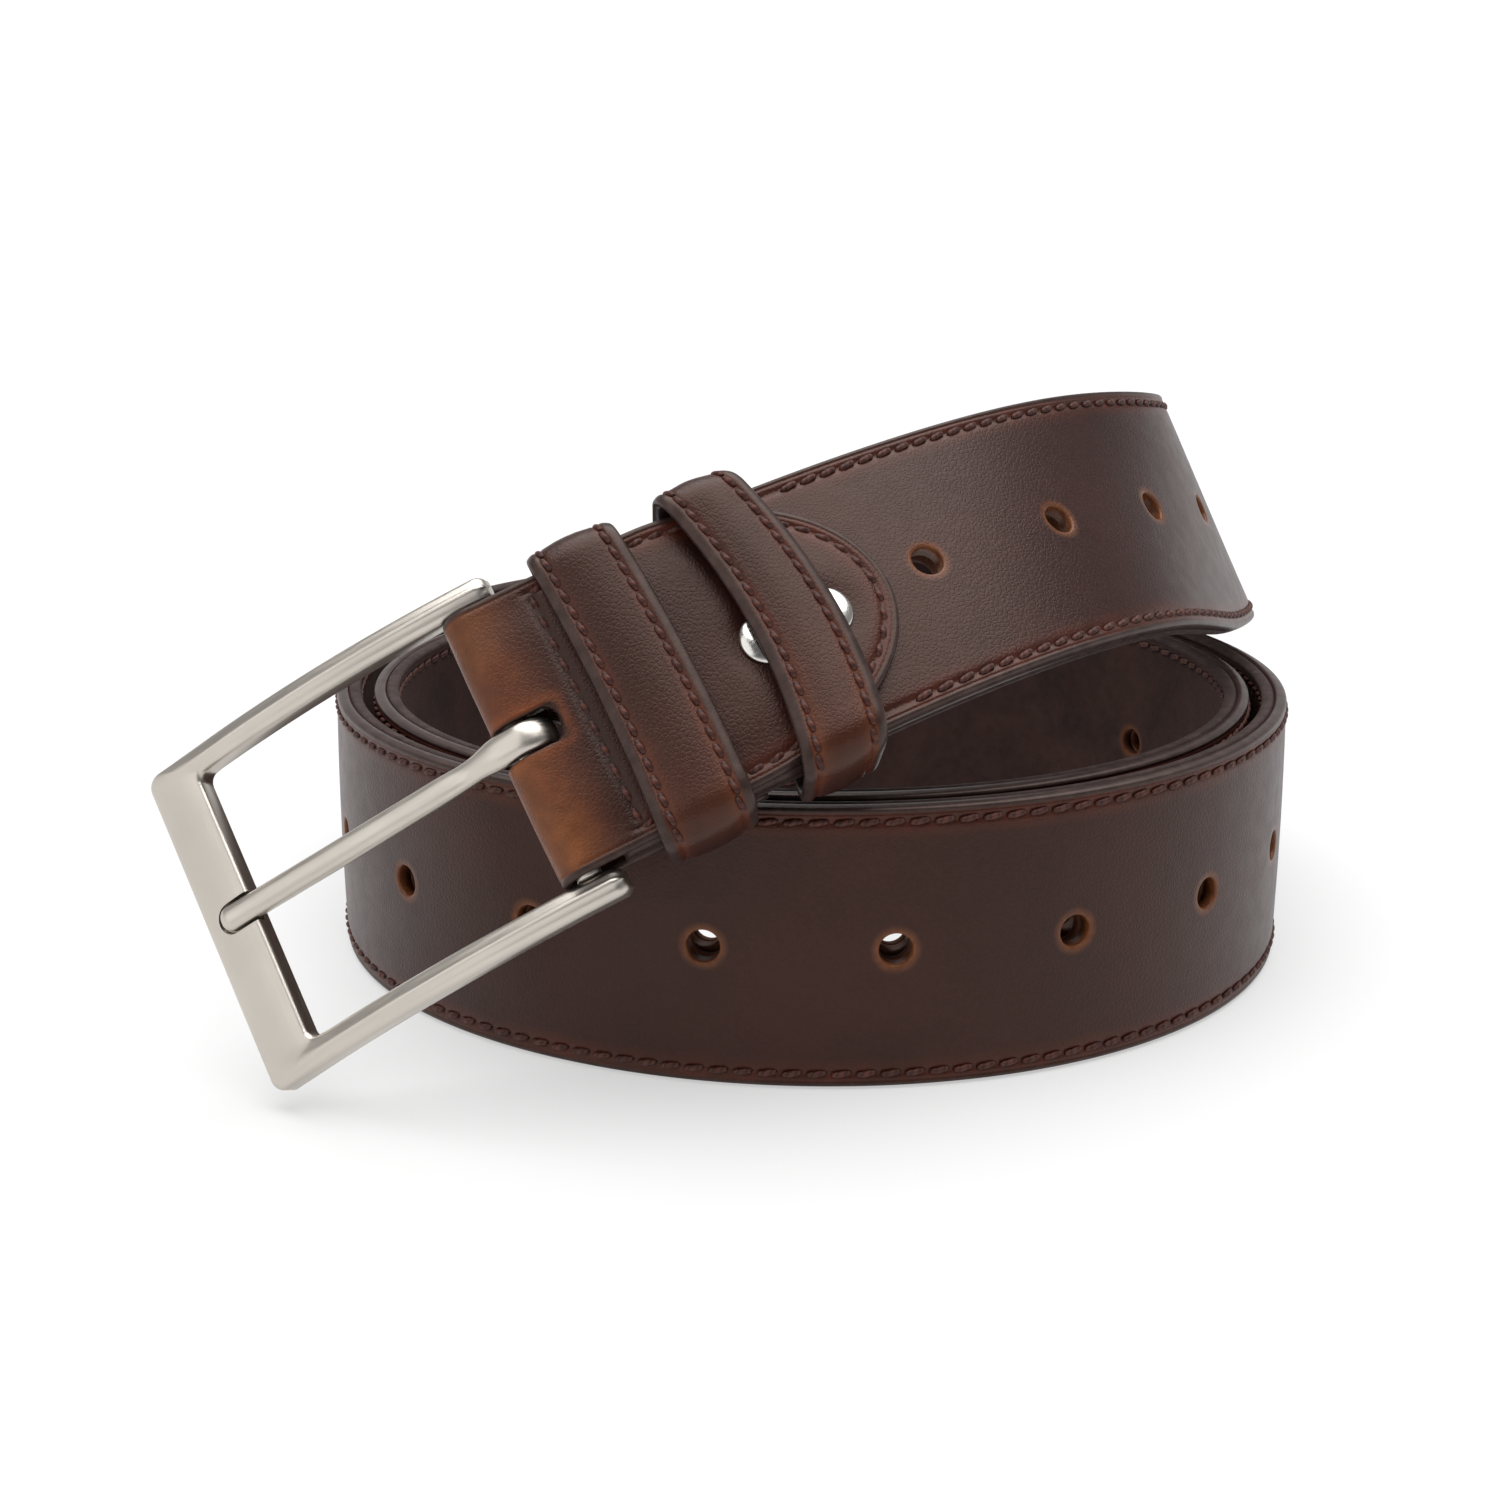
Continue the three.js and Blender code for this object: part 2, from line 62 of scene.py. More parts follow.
# ---- sizes, as in the part ----
STRAP_WIDTH = 40
HALF = STRAP_WIDTH / 2
STRAP_HALF_THICKNESS = 1.9
HOLE_PITCH = 25.4
HOLE_RADIUS = 2.25
FIRST_HOLE = 64
LAST_HOLE_FROM_TIP = 60
TIP_LENGTH = 20
STRAP_START = 9
SEAM_INSET = 2.1

LEG_MIDDLE = 3.0
LEG_HALF_THICKNESS = 0.8
BAR_BACK = 3.8
FRONT_LEG_END = 56.2
FRONT_LEG_SHOULDER = 28
BACK_LEG_END = 29
SLOT_HALF_WIDTH = 2.6
SLOT_END = 9.4
CROSS_SEAM = 12.7

KEEPER_THICKNESS = 1.8
KEEPER_SEAM_INSET = 2.0
KEEPER_CORNER = 2.2
# Back from the fold, width, bow, and the inside's left, right, bottom and top.
KEEPERS = {
    "keeper_fixed": (20.3, 12.4, 0.8, -21.2, 20.8, -4.2, 5.0),
    "keeper_sliding": (38.4, 11.2, 2.6, -21.3, 20.7, -4.3, 5.9),
}
SCREW_BACKS = {"near": 37.3, "far": 45.8}
SCREW_ACROSS = -2.4
SCREW_RADIUS = 3.7

FRAME_HALF_WIDTH = 24.2
FRAME_REACH = 52.4
ARM_WIDTH = 3.9
OUTER_BAR_WIDTH = 8.4
FRAME_HALF_HEIGHT = 1.9
FRAME_BULGE = 2.6
FRAME_DROOP = math.radians(15.5)
BAR_RADIUS = 1.8
TONGUE_WIDTH = 3.6
TONGUE_BOTTOM = 1.5
TONGUE_REACH = 49

COIL_START = math.radians(-6)
COIL_END = math.radians(618)
# Where the strap goes after the coil: x, y, z, and its upper edge's lean to the left and the rear.
STATIONS = np.array([
    [-70.5, 31, 20, 0, 0],
    [-55.5, 64.3, 20.4, 2, 3],
    [-23, 84.6, 21.5, 8, 8],
    [15, 87, 29, 18, 8],
    [48, 73.5, 43, 29, 3],
    [65.5, 44, 57, 31, 8],
    [60.5, 4.5, 65.3, 22, 16],
    [46.5, -20, 69.7, 30, 28],
    [17.5, -48.5, 68.2, 37, 38],
    [-13.2, -64.3, 58.9, 36.5, 37],
    [-41, -70, 46.5, 33, 34.5],
])


# ---- the strap's route ----
def coil_radius(angle):
    out = 62.95 + 5.7 * angle / (2 * math.pi)
    oval = 2.8 * np.sin(angle) + np.cos(angle) - 1.3 * np.cos(2 * angle)
    return out + oval + 0.3 * np.sin(2 * angle) + 0.3 * np.sin(3 * angle)


def distances(rows):
    steps = np.linalg.norm(np.diff(rows[:, :3], axis=0), axis=1)
    return np.concatenate([[0], np.cumsum(steps)])


def spline(at, rows, start_slope, x):
    """Cubic spline through rows at the places in at, with a set slope at its start."""
    count = len(at)
    h = np.diff(at)
    slope = np.diff(rows, axis=0) / h[:, None]
    matrix = np.zeros((count, count))
    right = np.zeros_like(rows)
    matrix[0, 0], matrix[0, 1] = 2 * h[0], h[0]
    right[0] = 6 * (slope[0] - start_slope)
    for i in range(1, count - 1):
        matrix[i, i - 1 : i + 2] = h[i - 1], 2 * (h[i - 1] + h[i]), h[i]
        right[i] = 6 * (slope[i] - slope[i - 1])
    matrix[-1, -1] = 1
    bend = np.linalg.solve(matrix, right)
    i = np.clip(np.searchsorted(at, x, side="right") - 1, 0, count - 2)
    a = ((at[i + 1] - x) / h[i])[:, None]
    b = 1 - a
    curved = ((a**3 - a) * bend[i] + (b**3 - b) * bend[i + 1]) * h[i][:, None] ** 2 / 6
    return a * rows[i] + b * rows[i + 1] + curved


def make_route():
    angle = np.linspace(COIL_START, COIL_END, 2081)
    r = coil_radius(angle)
    nothing = np.zeros_like(r)
    coil = np.column_stack([r * np.sin(angle), r * np.cos(angle), nothing + HALF, nothing, nothing])
    rows = np.vstack([coil[-1], STATIONS])
    last_step = coil[-1] - coil[-2]
    at = distances(rows)
    x = np.linspace(0, at[-1], 1501)[1:]
    return np.vstack([coil, spline(at, rows, last_step / np.linalg.norm(last_step[:3]), x)])


ROUTE = make_route()
ROUTE_AT = distances(ROUTE)
LENGTH = ROUTE_AT[-1]


def route_point(distance):
    return np.column_stack([np.interp(distance, ROUTE_AT, ROUTE[:, k]) for k in range(5)])


def unit(v):
    return v / np.linalg.norm(v, axis=-1, keepdims=True)


def square_to(along, v):
    """The part of v that is square to along, as unit vectors."""
    return unit(v - along * np.sum(v * along, axis=1, keepdims=True))


def strap_frames(back):
    """The strap's middle, its direction to the fold, up to its upper edge, and out of its face."""
    distance = np.clip(LENGTH - np.asarray(back, float), 0, LENGTH)
    here = route_point(distance)
    before = route_point(np.maximum(0, distance - 2))[:, :3]
    after = route_point(np.minimum(LENGTH, distance + 2))[:, :3]
    along = unit(after - before)
    lean = np.tan(np.radians(here[:, 3:]))
    up = square_to(along, np.column_stack([-lean[:, 0], lean[:, 1], np.ones(len(lean))]))
    return here[:, :3], along, up, np.cross(up, along)


SHIFT = np.zeros(3)


def place(back, across, out):
    back, across, out = np.broadcast_arrays(*[np.asarray(v, float) for v in (back, across, out)])
    shape = back.shape
    point, _, up, outward = strap_frames(back.ravel())
    point = point + up * across.ravel()[:, None] + outward * out.ravel()[:, None] + SHIFT
    return point.reshape(*shape, 3)


def middle_of(low, high):
    return (np.array(low) + np.array(high)) / 2


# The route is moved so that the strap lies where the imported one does.
FACES = (-STRAP_HALF_THICKNESS, STRAP_HALF_THICKNESS)
sample = np.arange(STRAP_START, LENGTH - TIP_LENGTH, 2.0)
corners = np.concatenate([place(sample, w, o) for w in (-HALF, HALF) for o in FACES])
SHIFT = middle_of(*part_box("strap_outer")) / MM - middle_of(corners.min(0), corners.max(0))
SHIFT[2] = 0


# ---- meshes ----
def smooth_step(low, high, x):
    t = np.clip((np.asarray(x, float) - low) / (high - low), 0, 1)
    return t * t * (3 - 2 * t)


def closed_mesh(name, points, faces, values=None):
    """A mesh in metres with its normals outward. values holds a number for each point, by name."""
    mesh = bpy.data.meshes.new(name)
    mesh.from_pydata((np.asarray(points) * MM).tolist(), [], faces)
    for key, numbers in (values or {}).items():
        attribute = mesh.attributes.new(key, "FLOAT", "POINT")
        attribute.data.foreach_set("value", np.asarray(numbers, np.float32))
    work = bmesh.new()
    work.from_mesh(mesh)
    bmesh.ops.remove_doubles(work, verts=work.verts, dist=0.002 * MM)
    loose = [v for v in work.verts if not v.link_faces]
    bmesh.ops.delete(work, geom=loose, context="VERTS")
    bmesh.ops.recalc_face_normals(work, faces=work.faces)
    work.to_mesh(mesh)
    work.free()
    return mesh


def add(name, points, faces, material, body, stands_for, values, sharp=None):
    """One closed mesh as a piece of the object. Edges bent by more than sharp degrees stay crisp."""
    mesh = closed_mesh(name, points, faces, values)
    mesh.shade_smooth()
    if sharp:
        mesh.set_sharp_from_angle(angle=math.radians(sharp))
    mesh.materials.append(material)
    piece = bpy.data.objects.new(name, mesh)
    bpy.context.scene.collection.objects.link(piece)
    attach(piece, body)
    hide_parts(*stands_for)
    return piece


def strips(rows, columns, skip=()):
    """Quads between rows of points that each go round a loop, but for the ones in skip."""
    faces = []
    for i in range(rows - 1):
        for j in range(columns):
            if (i, j) not in skip:
                k = (j + 1) % columns
                a, b = i * columns, (i + 1) * columns
                faces.append((a + j, a + k, b + k, b + j))
    return faces


def last_cap(rows, columns):
    return tuple((rows - 1) * columns + j for j in reversed(range(columns)))


def capped(rows, columns, skip=()):
    return strips(rows, columns, skip) + [tuple(range(columns)), last_cap(rows, columns)]


def loft(rings):
    """Closed mesh through rings of points: (points, faces)."""
    rings = np.asarray(rings)
    return rings.reshape(-1, 3), capped(*rings.shape[:2])


def grain(along, across, up):
    """The values that a brushed metal's grain follows."""
    return {"grain_along": along, "grain_across": across, "grain_up": up}


POINT = 0.001  # radius at which a turned shape closes on its axis


def lathe(profile, segments, origin, axis, side):
    """Profile of (radius, height) turned about an axis."""
    other = np.cross(axis, side)
    angles = np.linspace(0, 2 * math.pi, segments, endpoint=False)
    rings = []
    for r, h in profile:
        circle = np.cos(angles)[:, None] * side + np.sin(angles)[:, None] * other
        rings.append(origin + r * circle + h * axis)
    return rings


def stitches(centres, along, normal, length, width, height, tilt):
    """Short thread loops whose ends dip into the leather, tilt degrees askew, as one mesh."""
    side = unit(np.cross(normal, along))
    c, s = math.cos(math.radians(tilt)), math.sin(math.radians(tilt))
    along, side = along * c + side * s, side * c - along * s
    stations, sides = 9, 8
    u = np.sin(np.linspace(-math.pi / 2, math.pi / 2, stations))
    swell = np.sqrt(np.maximum(0, 1 - np.abs(u) ** 3.2))
    swell[0] = swell[-1] = 0.12
    angle = np.linspace(0, 2 * math.pi, sides, endpoint=False)
    x = np.repeat(u * length / 2, sides)
    y = (swell[:, None] * np.cos(angle) * width / 2).ravel()
    dip = -0.32 * np.repeat(u**4, sides)
    z = (swell[:, None] * np.sin(angle) * height / 2).ravel() + dip
    points = (
        centres[:, None]
        + x[None, :, None] * along[:, None]
        + y[None, :, None] * side[:, None]
        + z[None, :, None] * normal[:, None]
    )
    count = stations * sides
    one = capped(stations, sides)
    faces = [tuple(k + n * count for k in face) for n in range(len(centres)) for face in one]
    run = np.tile(x, len(centres))
    turn = np.tile(np.tile(angle, stations), len(centres))
    tip = np.tile(np.abs(np.repeat(u, sides)), len(centres))
    return points.reshape(-1, 3), faces, {"run": run, "turn": turn, "tip": tip}


# ---- materials ----
def smooth_range(tree, value, *limits):
    """Fades from the third limit to the fourth as value goes from the first to the second."""
    node = tree.nodes.new("ShaderNodeMapRange")
    node.interpolation_type = "SMOOTHSTEP"
    for key, limit in zip(("From Min", "From Max", "To Min", "To Max"), limits):
        node.inputs[key].default_value = limit
    tree.links.new(value, node.inputs["Value"])
    return node.outputs[0]


class Shader:
    """A material's nodes, made one at a time."""

    def __init__(self, name):
        self.material = bpy.data.materials.new(name)
        self.material.use_nodes = True
        self.tree = self.material.node_tree
        self.tree.nodes.clear()
        output = self.tree.nodes.new("ShaderNodeOutputMaterial")
        self.surface = self.tree.nodes.new("ShaderNodeBsdfPrincipled")
        self.tree.links.new(self.surface.outputs[0], output.inputs["Surface"])
        self.place = self.tree.nodes.new("ShaderNodeTexCoord").outputs["Object"]

    def put(self, socket, value):
        if isinstance(value, bpy.types.NodeSocket):
            self.tree.links.new(value, socket)
        elif value is not None:
            socket.default_value = value

    def set(self, name, value):
        self.put(self.surface.inputs[name], value)

    def value(self, name):
        node = self.tree.nodes.new("ShaderNodeAttribute")
        node.attribute_name = name
        return node.outputs["Fac"]

    def math(self, operation, a, b=0.0):
        node = self.tree.nodes.new("ShaderNodeMath")
        node.operation = operation
        self.put(node.inputs[0], a)
        self.put(node.inputs[1], b)
        return node.outputs[0]

    def span(self, value, low, high, to_low=0.0, to_high=1.0):
        return smooth_range(self.tree, value, low, high, to_low, to_high)

    def noise(self, scale, detail=3.0, roughness=0.5, place=None):
        node = self.tree.nodes.new("ShaderNodeTexNoise")
        self.put(node.inputs["Vector"], place or self.place)
        self.put(node.inputs["Scale"], scale)
        self.put(node.inputs["Detail"], detail)
        self.put(node.inputs["Roughness"], roughness)
        return node.outputs["Fac"]

    def cells(self, scale):
        node = self.tree.nodes.new("ShaderNodeTexVoronoi")
        node.feature = "DISTANCE_TO_EDGE"
        self.put(node.inputs["Vector"], self.place)
        self.put(node.inputs["Scale"], scale)
        return node.outputs["Distance"]

    def vector(self, x, y, z):
        node = self.tree.nodes.new("ShaderNodeCombineXYZ")
        for socket, value in zip(node.inputs, (x, y, z)):
            self.put(socket, value)
        return node.outputs[0]

    def mix(self, share, a, b):
        node = self.tree.nodes.new("ShaderNodeMix")
        node.data_type = "RGBA"
        self.put(node.inputs[0], share)
        self.put(node.inputs[6], a)
        self.put(node.inputs[7], b)
        return node.outputs[2]

    def bump(self, height, depth, before=None):
        node = self.tree.nodes.new("ShaderNodeBump")
        self.put(node.inputs["Height"], height)
        self.put(node.inputs["Distance"], depth * MM)
        self.put(node.inputs["Normal"], before)
        return node.outputs[0]


def rgb(red, green, blue):
    """A colour given as it looks on a screen, from 0 to 255."""
    shares = [c / 255 for c in (red, green, blue)]
    return (*[((c + 0.055) / 1.055) ** 2.4 if c > 10 / 255 else c / 12.92 for c in shares], 1.0)


def painted_edge(s):
    return s.mix(s.span(s.noise(420, 4, 0.65), 0.3, 0.75), rgb(38, 27, 25), rgb(60, 46, 43))


def leather_material():
    """Smooth deep brown grain leather. paint is its painted edge, raw a cut rim, tan the burnished bend."""
    s = Shader("belt_leather")
    mottle = s.noise(42, 4, 0.6)
    fine = s.noise(1500, 3, 0.7)
    colour = s.mix(s.span(mottle, 0.3, 0.7), rgb(31, 11, 8), rgb(44, 18, 14))
    colour = s.mix(s.span(fine, 0.3, 0.8, 0.0, 0.35), colour, rgb(60, 30, 24))
    rubbed = s.span(s.noise(160, 3), 0.3, 0.7, 0.25, 0.6)
    colour = s.mix(s.math("MULTIPLY", s.value("band"), rubbed), colour, rgb(84, 36, 22))
    worn = s.span(s.noise(300, 4, 0.65), 0.25, 0.75, 0.6, 1.0)
    golden = s.mix(s.span(s.noise(110, 3), 0.35, 0.65), rgb(112, 56, 27), rgb(132, 76, 38))
    colour = s.mix(s.math("MULTIPLY", s.value("tan"), worn), colour, golden)
    fibres = s.span(s.noise(900, 3), 0.3, 0.7, 0.6, 1.0)
    colour = s.mix(s.math("MULTIPLY", s.value("raw"), fibres), colour, rgb(118, 70, 40))
    paint = s.value("paint")
    colour = s.mix(paint, colour, painted_edge(s))
    # Painted shade, near black, laid over the leather in the tab's slot and along its sunk cross seam.
    s.set("Base Color", s.mix(s.value("painted_shade"), colour, rgb(12, 7, 6)))
    s.set("Roughness", s.span(s.noise(320, 3), 0.3, 0.7, 0.36, 0.41))
    s.set("Specular IOR Level", 0.36)
    s.set("Specular Tint", rgb(255, 222, 208))
    s.set("Coat Weight", 0.04)
    s.set("Coat Roughness", 0.25)
    pores = s.span(s.cells(1500), 0.0, 0.25)
    soft = s.math("SUBTRACT", 1.0, s.math("MULTIPLY", paint, 0.8))
    pitted = s.bump(s.math("MULTIPLY", pores, soft), 0.02)
    s.set("Normal", s.bump(s.noise(700, 3, 0.6), 0.006, pitted))
    return s.material


def lining_material():
    """Matt split leather."""
    s = Shader("lining_leather")
    colour = s.mix(s.span(s.noise(90, 5, 0.7), 0.3, 0.7), rgb(36, 21, 18), rgb(54, 33, 28))
    colour = s.mix(s.math("MULTIPLY", s.value("raw"), 0.8), colour, rgb(104, 60, 36))
    s.set("Base Color", s.mix(s.value("paint"), colour, painted_edge(s)))
    s.set("Roughness", s.span(s.noise(500, 3), 0.3, 0.7, 0.62, 0.8))
    s.set("Specular IOR Level", 0.2)
    s.set("Sheen Weight", 0.06)
    s.set("Sheen Roughness", 0.6)
    s.set("Sheen Tint", rgb(180, 150, 140))
    fibre = s.bump(s.noise(2600, 3, 0.7), 0.05)
    s.set("Normal", s.bump(s.noise(300, 4, 0.6), 0.12, fibre))
    return s.material


def thread_material():
    """Waxed thread, its plies showing as a slanted twist, with painted shade between the plies and at the
    stitch ends.
    """
    s = Shader("seam_thread")
    twist = s.math("SINE", s.math("ADD", s.math("MULTIPLY", s.value("run"), 5.2), s.value("turn")))
    colour = s.mix(s.span(s.noise(700, 3), 0.3, 0.7), rgb(64, 32, 26), rgb(88, 48, 38))
    # Painted shade in the grooves between the thread's twisted plies.
    colour = s.mix(s.span(twist, -1.0, 0.2, 0.6, 0.0), colour, rgb(28, 13, 11))
    # Painted shade, near black, at each stitch's ends where the thread dips into the leather.
    colour = s.mix(s.span(s.value("tip"), 0.78, 1.0), colour, rgb(10, 5, 4))
    s.set("Base Color", colour)
    s.set("Roughness", 0.55)
    s.set("Specular IOR Level", 0.3)
    s.set("Normal", s.bump(twist, 0.05))
    return s.material


def nickel_material(name, roughness, depth, colour):
    """Nickel brushed along grain_along, its fine lines lying side by side across it."""
    s = Shader(name)
    along = s.math("MULTIPLY", s.value("grain_along"), 0.05)
    lines = s.noise(3.4, 4, 0.65, s.vector(along, s.value("grain_across"), s.value("grain_up")))
    cloud = s.noise(45, 3)
    s.set("Metallic", 1.0)
    s.set("Base Color", s.mix(s.span(cloud, 0.3, 0.7), colour, tuple(0.9 * c for c in colour[:3]) + (1.0,)))
    uneven = s.span(cloud, 0.3, 0.7, roughness, roughness + 0.05)
    s.set("Roughness", s.math("ADD", s.span(lines, 0.3, 0.7, -0.05, 0.06), uneven))
    s.set("Normal", s.bump(lines, depth))
    return s.material


LEATHER = leather_material()
LINING = lining_material()
THREAD = thread_material()
BRUSHED = nickel_material("brushed_nickel", 0.31, 0.012, rgb(204, 197, 188))
POLISHED = nickel_material("polished_nickel", 0.14, 0.003, rgb(222, 219, 214))


# ---- the strap ----
PATCH = 6  # half the side of the square round each hole
RIM_RINGS = [(0.0, -0.34), (0.06, -0.16), (0.18, -0.05), (0.42, 0.0), (1.3, 0.0), (2.3, 0.0)]
holes = np.arange(FIRST_HOLE, LENGTH - LAST_HOLE_FROM_TIP, HOLE_PITCH)


def strap_lines():
    """Distances back from the fold at which the strap's sections lie."""
    lines = [np.linspace(STRAP_START, holes[0] - PATCH, 34)]
    for hole, following in zip(holes, np.append(holes[1:], np.nan)):
        lines.append(np.linspace(hole - PATCH, hole + PATCH, 2 * PATCH + 1))
        if not np.isnan(following):
            lines.append(np.linspace(hole + PATCH, following - PATCH, 9)[1:-1])
    far = LENGTH - TIP_LENGTH
    lines.append(np.linspace(holes[-1] + PATCH, far, 16)[1:])
    lines.append(far + TIP_LENGTH * np.sin(np.linspace(0, math.pi / 2, 26))[1:] * 0.999)
    return np.concatenate(lines)


def strap_half(back):
    f = np.clip((np.asarray(back) - (LENGTH - TIP_LENGTH)) / TIP_LENGTH, 0, 1)
    return HALF * np.sqrt(1 - f**2)


def seam_groove(inset, depth=0.34):
    """How far the leather is drawn in at a distance in from the edge."""
    groove = -depth * np.exp(-(((inset - SEAM_INSET) / 0.5) ** 2))
    crease = -0.14 * np.exp(-(((inset - 1.0) / 0.16) ** 2))
    fall = -0.32 * (1 - np.clip(inset / 0.7, 0, 1)) ** 2
    return groove + crease + fall


def ply(name, sign, material, stands_for):
    """One ply of the strap, with its holes. sign is 1 for the grain side and -1 for the lining."""
    inner = np.concatenate([np.arange(0, 7.0), [8, 10, 12, 14, 15.5, 16.5, 17.0, 17.3, 17.6, 17.9]])
    outer_lines = np.array([18.2, 18.5, 18.75, 18.9, 19.0, 19.1, 19.25, 19.4, 19.55])
    half_face = np.concatenate([inner, outer_lines])
    face = np.concatenate([-half_face[:0:-1], half_face])
    crown = 0.22 if sign > 0 else 0.0
    height = STRAP_HALF_THICKNESS + crown * (1 - (face / 17) ** 2) * (np.abs(face) < 17)
    height = height + seam_groove(HALF - np.abs(face))
    turn = np.radians([20, 42, 62, 80])
    edge_w = 19.55 + 0.5 * np.sin(turn)
    edge_o = 0.06 + (height[-1] - 0.06) * np.cos(turn)
    parting = np.concatenate([[-19.7, -13], np.arange(-PATCH, PATCH + 1.0), [13, 19.7]])
    w = np.concatenate([face, edge_w, parting[::-1], -edge_w[::-1]])
    o = np.concatenate([height, edge_o, np.full(len(parting), 0.02), edge_o[::-1]]) * sign
    lines = strap_lines()
    rows, columns = len(lines), len(w)
    scale = strap_half(lines) / HALF
    scale = scale[:, None]
    moved_in = np.sign(w) * np.maximum(0, scale * HALF - (HALF - np.abs(w)))
    narrowed = np.where(np.abs(w) > 15, moved_in, w * np.minimum(1, scale))
    across = np.where(scale > 0.999, w, narrowed)
    back = np.repeat(lines[:, None], columns, axis=1)
    out = np.repeat(o[None], rows, axis=0)
    points = [place(back, across, out).reshape(-1, 3)]
    backs, acrosses = [back.ravel()], [across.ravel()]
    on_edge = (np.abs(w) > 19.3) & (np.abs(o) > 0.03)
    paint = np.where(on_edge, 1.0, np.clip((np.abs(w) - 19.05) / 0.3, 0, 1) * (np.abs(o) > 0.03))
    paints, raws = [np.tile(paint, rows)], [np.zeros(rows * columns)]
    first_front = int(np.where(face == -PATCH)[0][0])
    first_part = len(face) + len(edge_w) + int(np.where(parting[::-1] == PATCH)[0][0])
    cells = 2 * PATCH
    skip = set()
    patches = []
    for hole in holes:
        row = int(np.argmin(np.abs(lines - (hole - PATCH))))
        for first in (first_front, first_part):
            skip.update((row + i, first + j) for i in range(cells) for j in range(cells))
            step = [(0, j) for j in range(cells)] + [(i, cells) for i in range(cells)]
            step += [(cells, cells - j) for j in range(cells)] + [(cells - i, 0) for i in range(cells)]
            rim = [(row + i) * columns + first + j for i, j in step]
            patches.append((hole, first, rim))
    faces = capped(rows, columns, skip)
    count = rows * columns
    flat_back, flat_across = back.ravel(), across.ravel()
    bores = {}
    for hole, first, rim in patches:
        angle = np.arctan2(flat_across[rim], flat_back[rim] - hole)
        front = first == first_front
        rings = RIM_RINGS if front else [(0.0, 0.0)]
        previous = rim
        for grown, sink in reversed(rings):
            radius = HOLE_RADIUS + grown
            b = hole + radius * np.cos(angle)
            c = radius * np.sin(angle)
            level = STRAP_HALF_THICKNESS + crown * (1 - (c / 17) ** 2) + sink if front else 0.02
            points.append(place(b, c, np.broadcast_to(level * sign, b.shape)))
            backs.append(b)
            acrosses.append(c)
            paints.append(np.zeros(len(b)))
            near = 0.85 - 0.85 * smooth_step(0.05, 1.1, grown)
            raws.append(np.full(len(b), near))
            ring = list(range(count, count + len(b)))
            count += len(b)
            n = len(ring)
            faces += [(previous[j], previous[(j + 1) % n], ring[(j + 1) % n], ring[j]) for j in range(n)]
            previous = ring
        bores.setdefault(hole, []).append((previous, angle))
    for top, under in bores.values():
        a, b = top[0], under[0]
        start = int(np.argmin(np.abs(np.angle(np.exp(1j * (under[1] - top[1][0]))))))
        forward = abs(np.angle(np.exp(1j * (under[1][(start + 1) % len(b)] - top[1][1])))) < 0.05
        b = [b[(start + (j if forward else -j)) % len(b)] for j in range(len(b))]
        n = len(a)
        faces += [(a[j], a[(j + 1) % n], b[(j + 1) % n], b[j]) for j in range(n)]
    acrosses, backs = np.concatenate(acrosses), np.concatenate(backs)
    band = smooth_step(15.2, 17.6, np.abs(acrosses)) * (np.abs(acrosses) < 19.2)
    values = {"paint": np.concatenate(paints), "raw": np.concatenate(raws), "band": band}
    values["tan"] = values["painted_shade"] = np.zeros(len(band))
    return add(name, np.concatenate(points), faces, material, "belt", stands_for, values)


ply("strap_grain_side", 1, LEATHER, ["strap_outer"])
ply("strap_lining_side", -1, LINING, ["strap_lining"])


def sew(name, body, stands_for, *row):
    """One row of stitches as a piece. row is what stitches() takes."""
    points, faces, values = stitches(*row)
    add(name, points, faces, THREAD, body, [stands_for], values)


def edge_stitches(name, across, stands_for):
    """A seam along one edge of the strap, on both of its faces."""
    pitch = 3.3
    rows = []
    for sign, first in ((1, FRONT_LEG_END - 4), (-1, BACK_LEG_END - 4)):
        at = np.arange(first, LENGTH - TIP_LENGTH - 1, pitch)
        _, along, _, out = strap_frames(at)
        rows.append((place(at, across, sign * (STRAP_HALF_THICKNESS - 0.02)), along, out * sign))
    both = [np.concatenate(part) for part in zip(*rows)]
    sew(name, "belt", stands_for, *both, 2.95, 0.9, 0.74, 10)


edge_stitches("edge_stitches_upper", HALF - SEAM_INSET, "edge_thread_upper")
edge_stitches("edge_stitches_lower", SEAM_INSET - HALF, "edge_thread_lower")


# ---- the tab that wraps the buckle's bar ----
BEND = math.pi * LEG_MIDDLE
SLOT_LOW = BAR_BACK - BEND - (SLOT_END - BAR_BACK)


def leg_place(t, across, height):
    """t runs along the front leg and, below BAR_BACK, round the bend and along the back leg."""
    t, across, height = np.broadcast_arrays(*[np.asarray(v, float) for v in (t, across, height)])
    phi = np.clip((BAR_BACK - t) / LEG_MIDDLE, 0, math.pi)
    radius = LEG_MIDDLE + height
    back = BAR_BACK - radius * np.sin(phi)
    back = np.where(t > BAR_BACK, t, back)
    back = np.where(t < BAR_BACK - BEND, 2 * BAR_BACK - BEND - t, back)
    return place(back, across, radius * np.cos(phi))


TAB_SEAM_END = 12.4
SEAM_LENGTH = FRONT_LEG_END - FRONT_LEG_SHOULDER - SEAM_INSET


def leg_inset(t, across):
    """Distance in from the tab's edge."""
    long, wide = FRONT_LEG_END - FRONT_LEG_SHOULDER, HALF
    x = np.clip(t - FRONT_LEG_SHOULDER, 0, None)
    r = np.sqrt((x / long) ** 2 + (across / wide) ** 2) + 1e-9
    slope = np.sqrt((x / long**2) ** 2 + (across / wide**2) ** 2) / r + 1e-9
    return np.where(t > FRONT_LEG_SHOULDER, (1 - r) / slope, wide - np.abs(across))


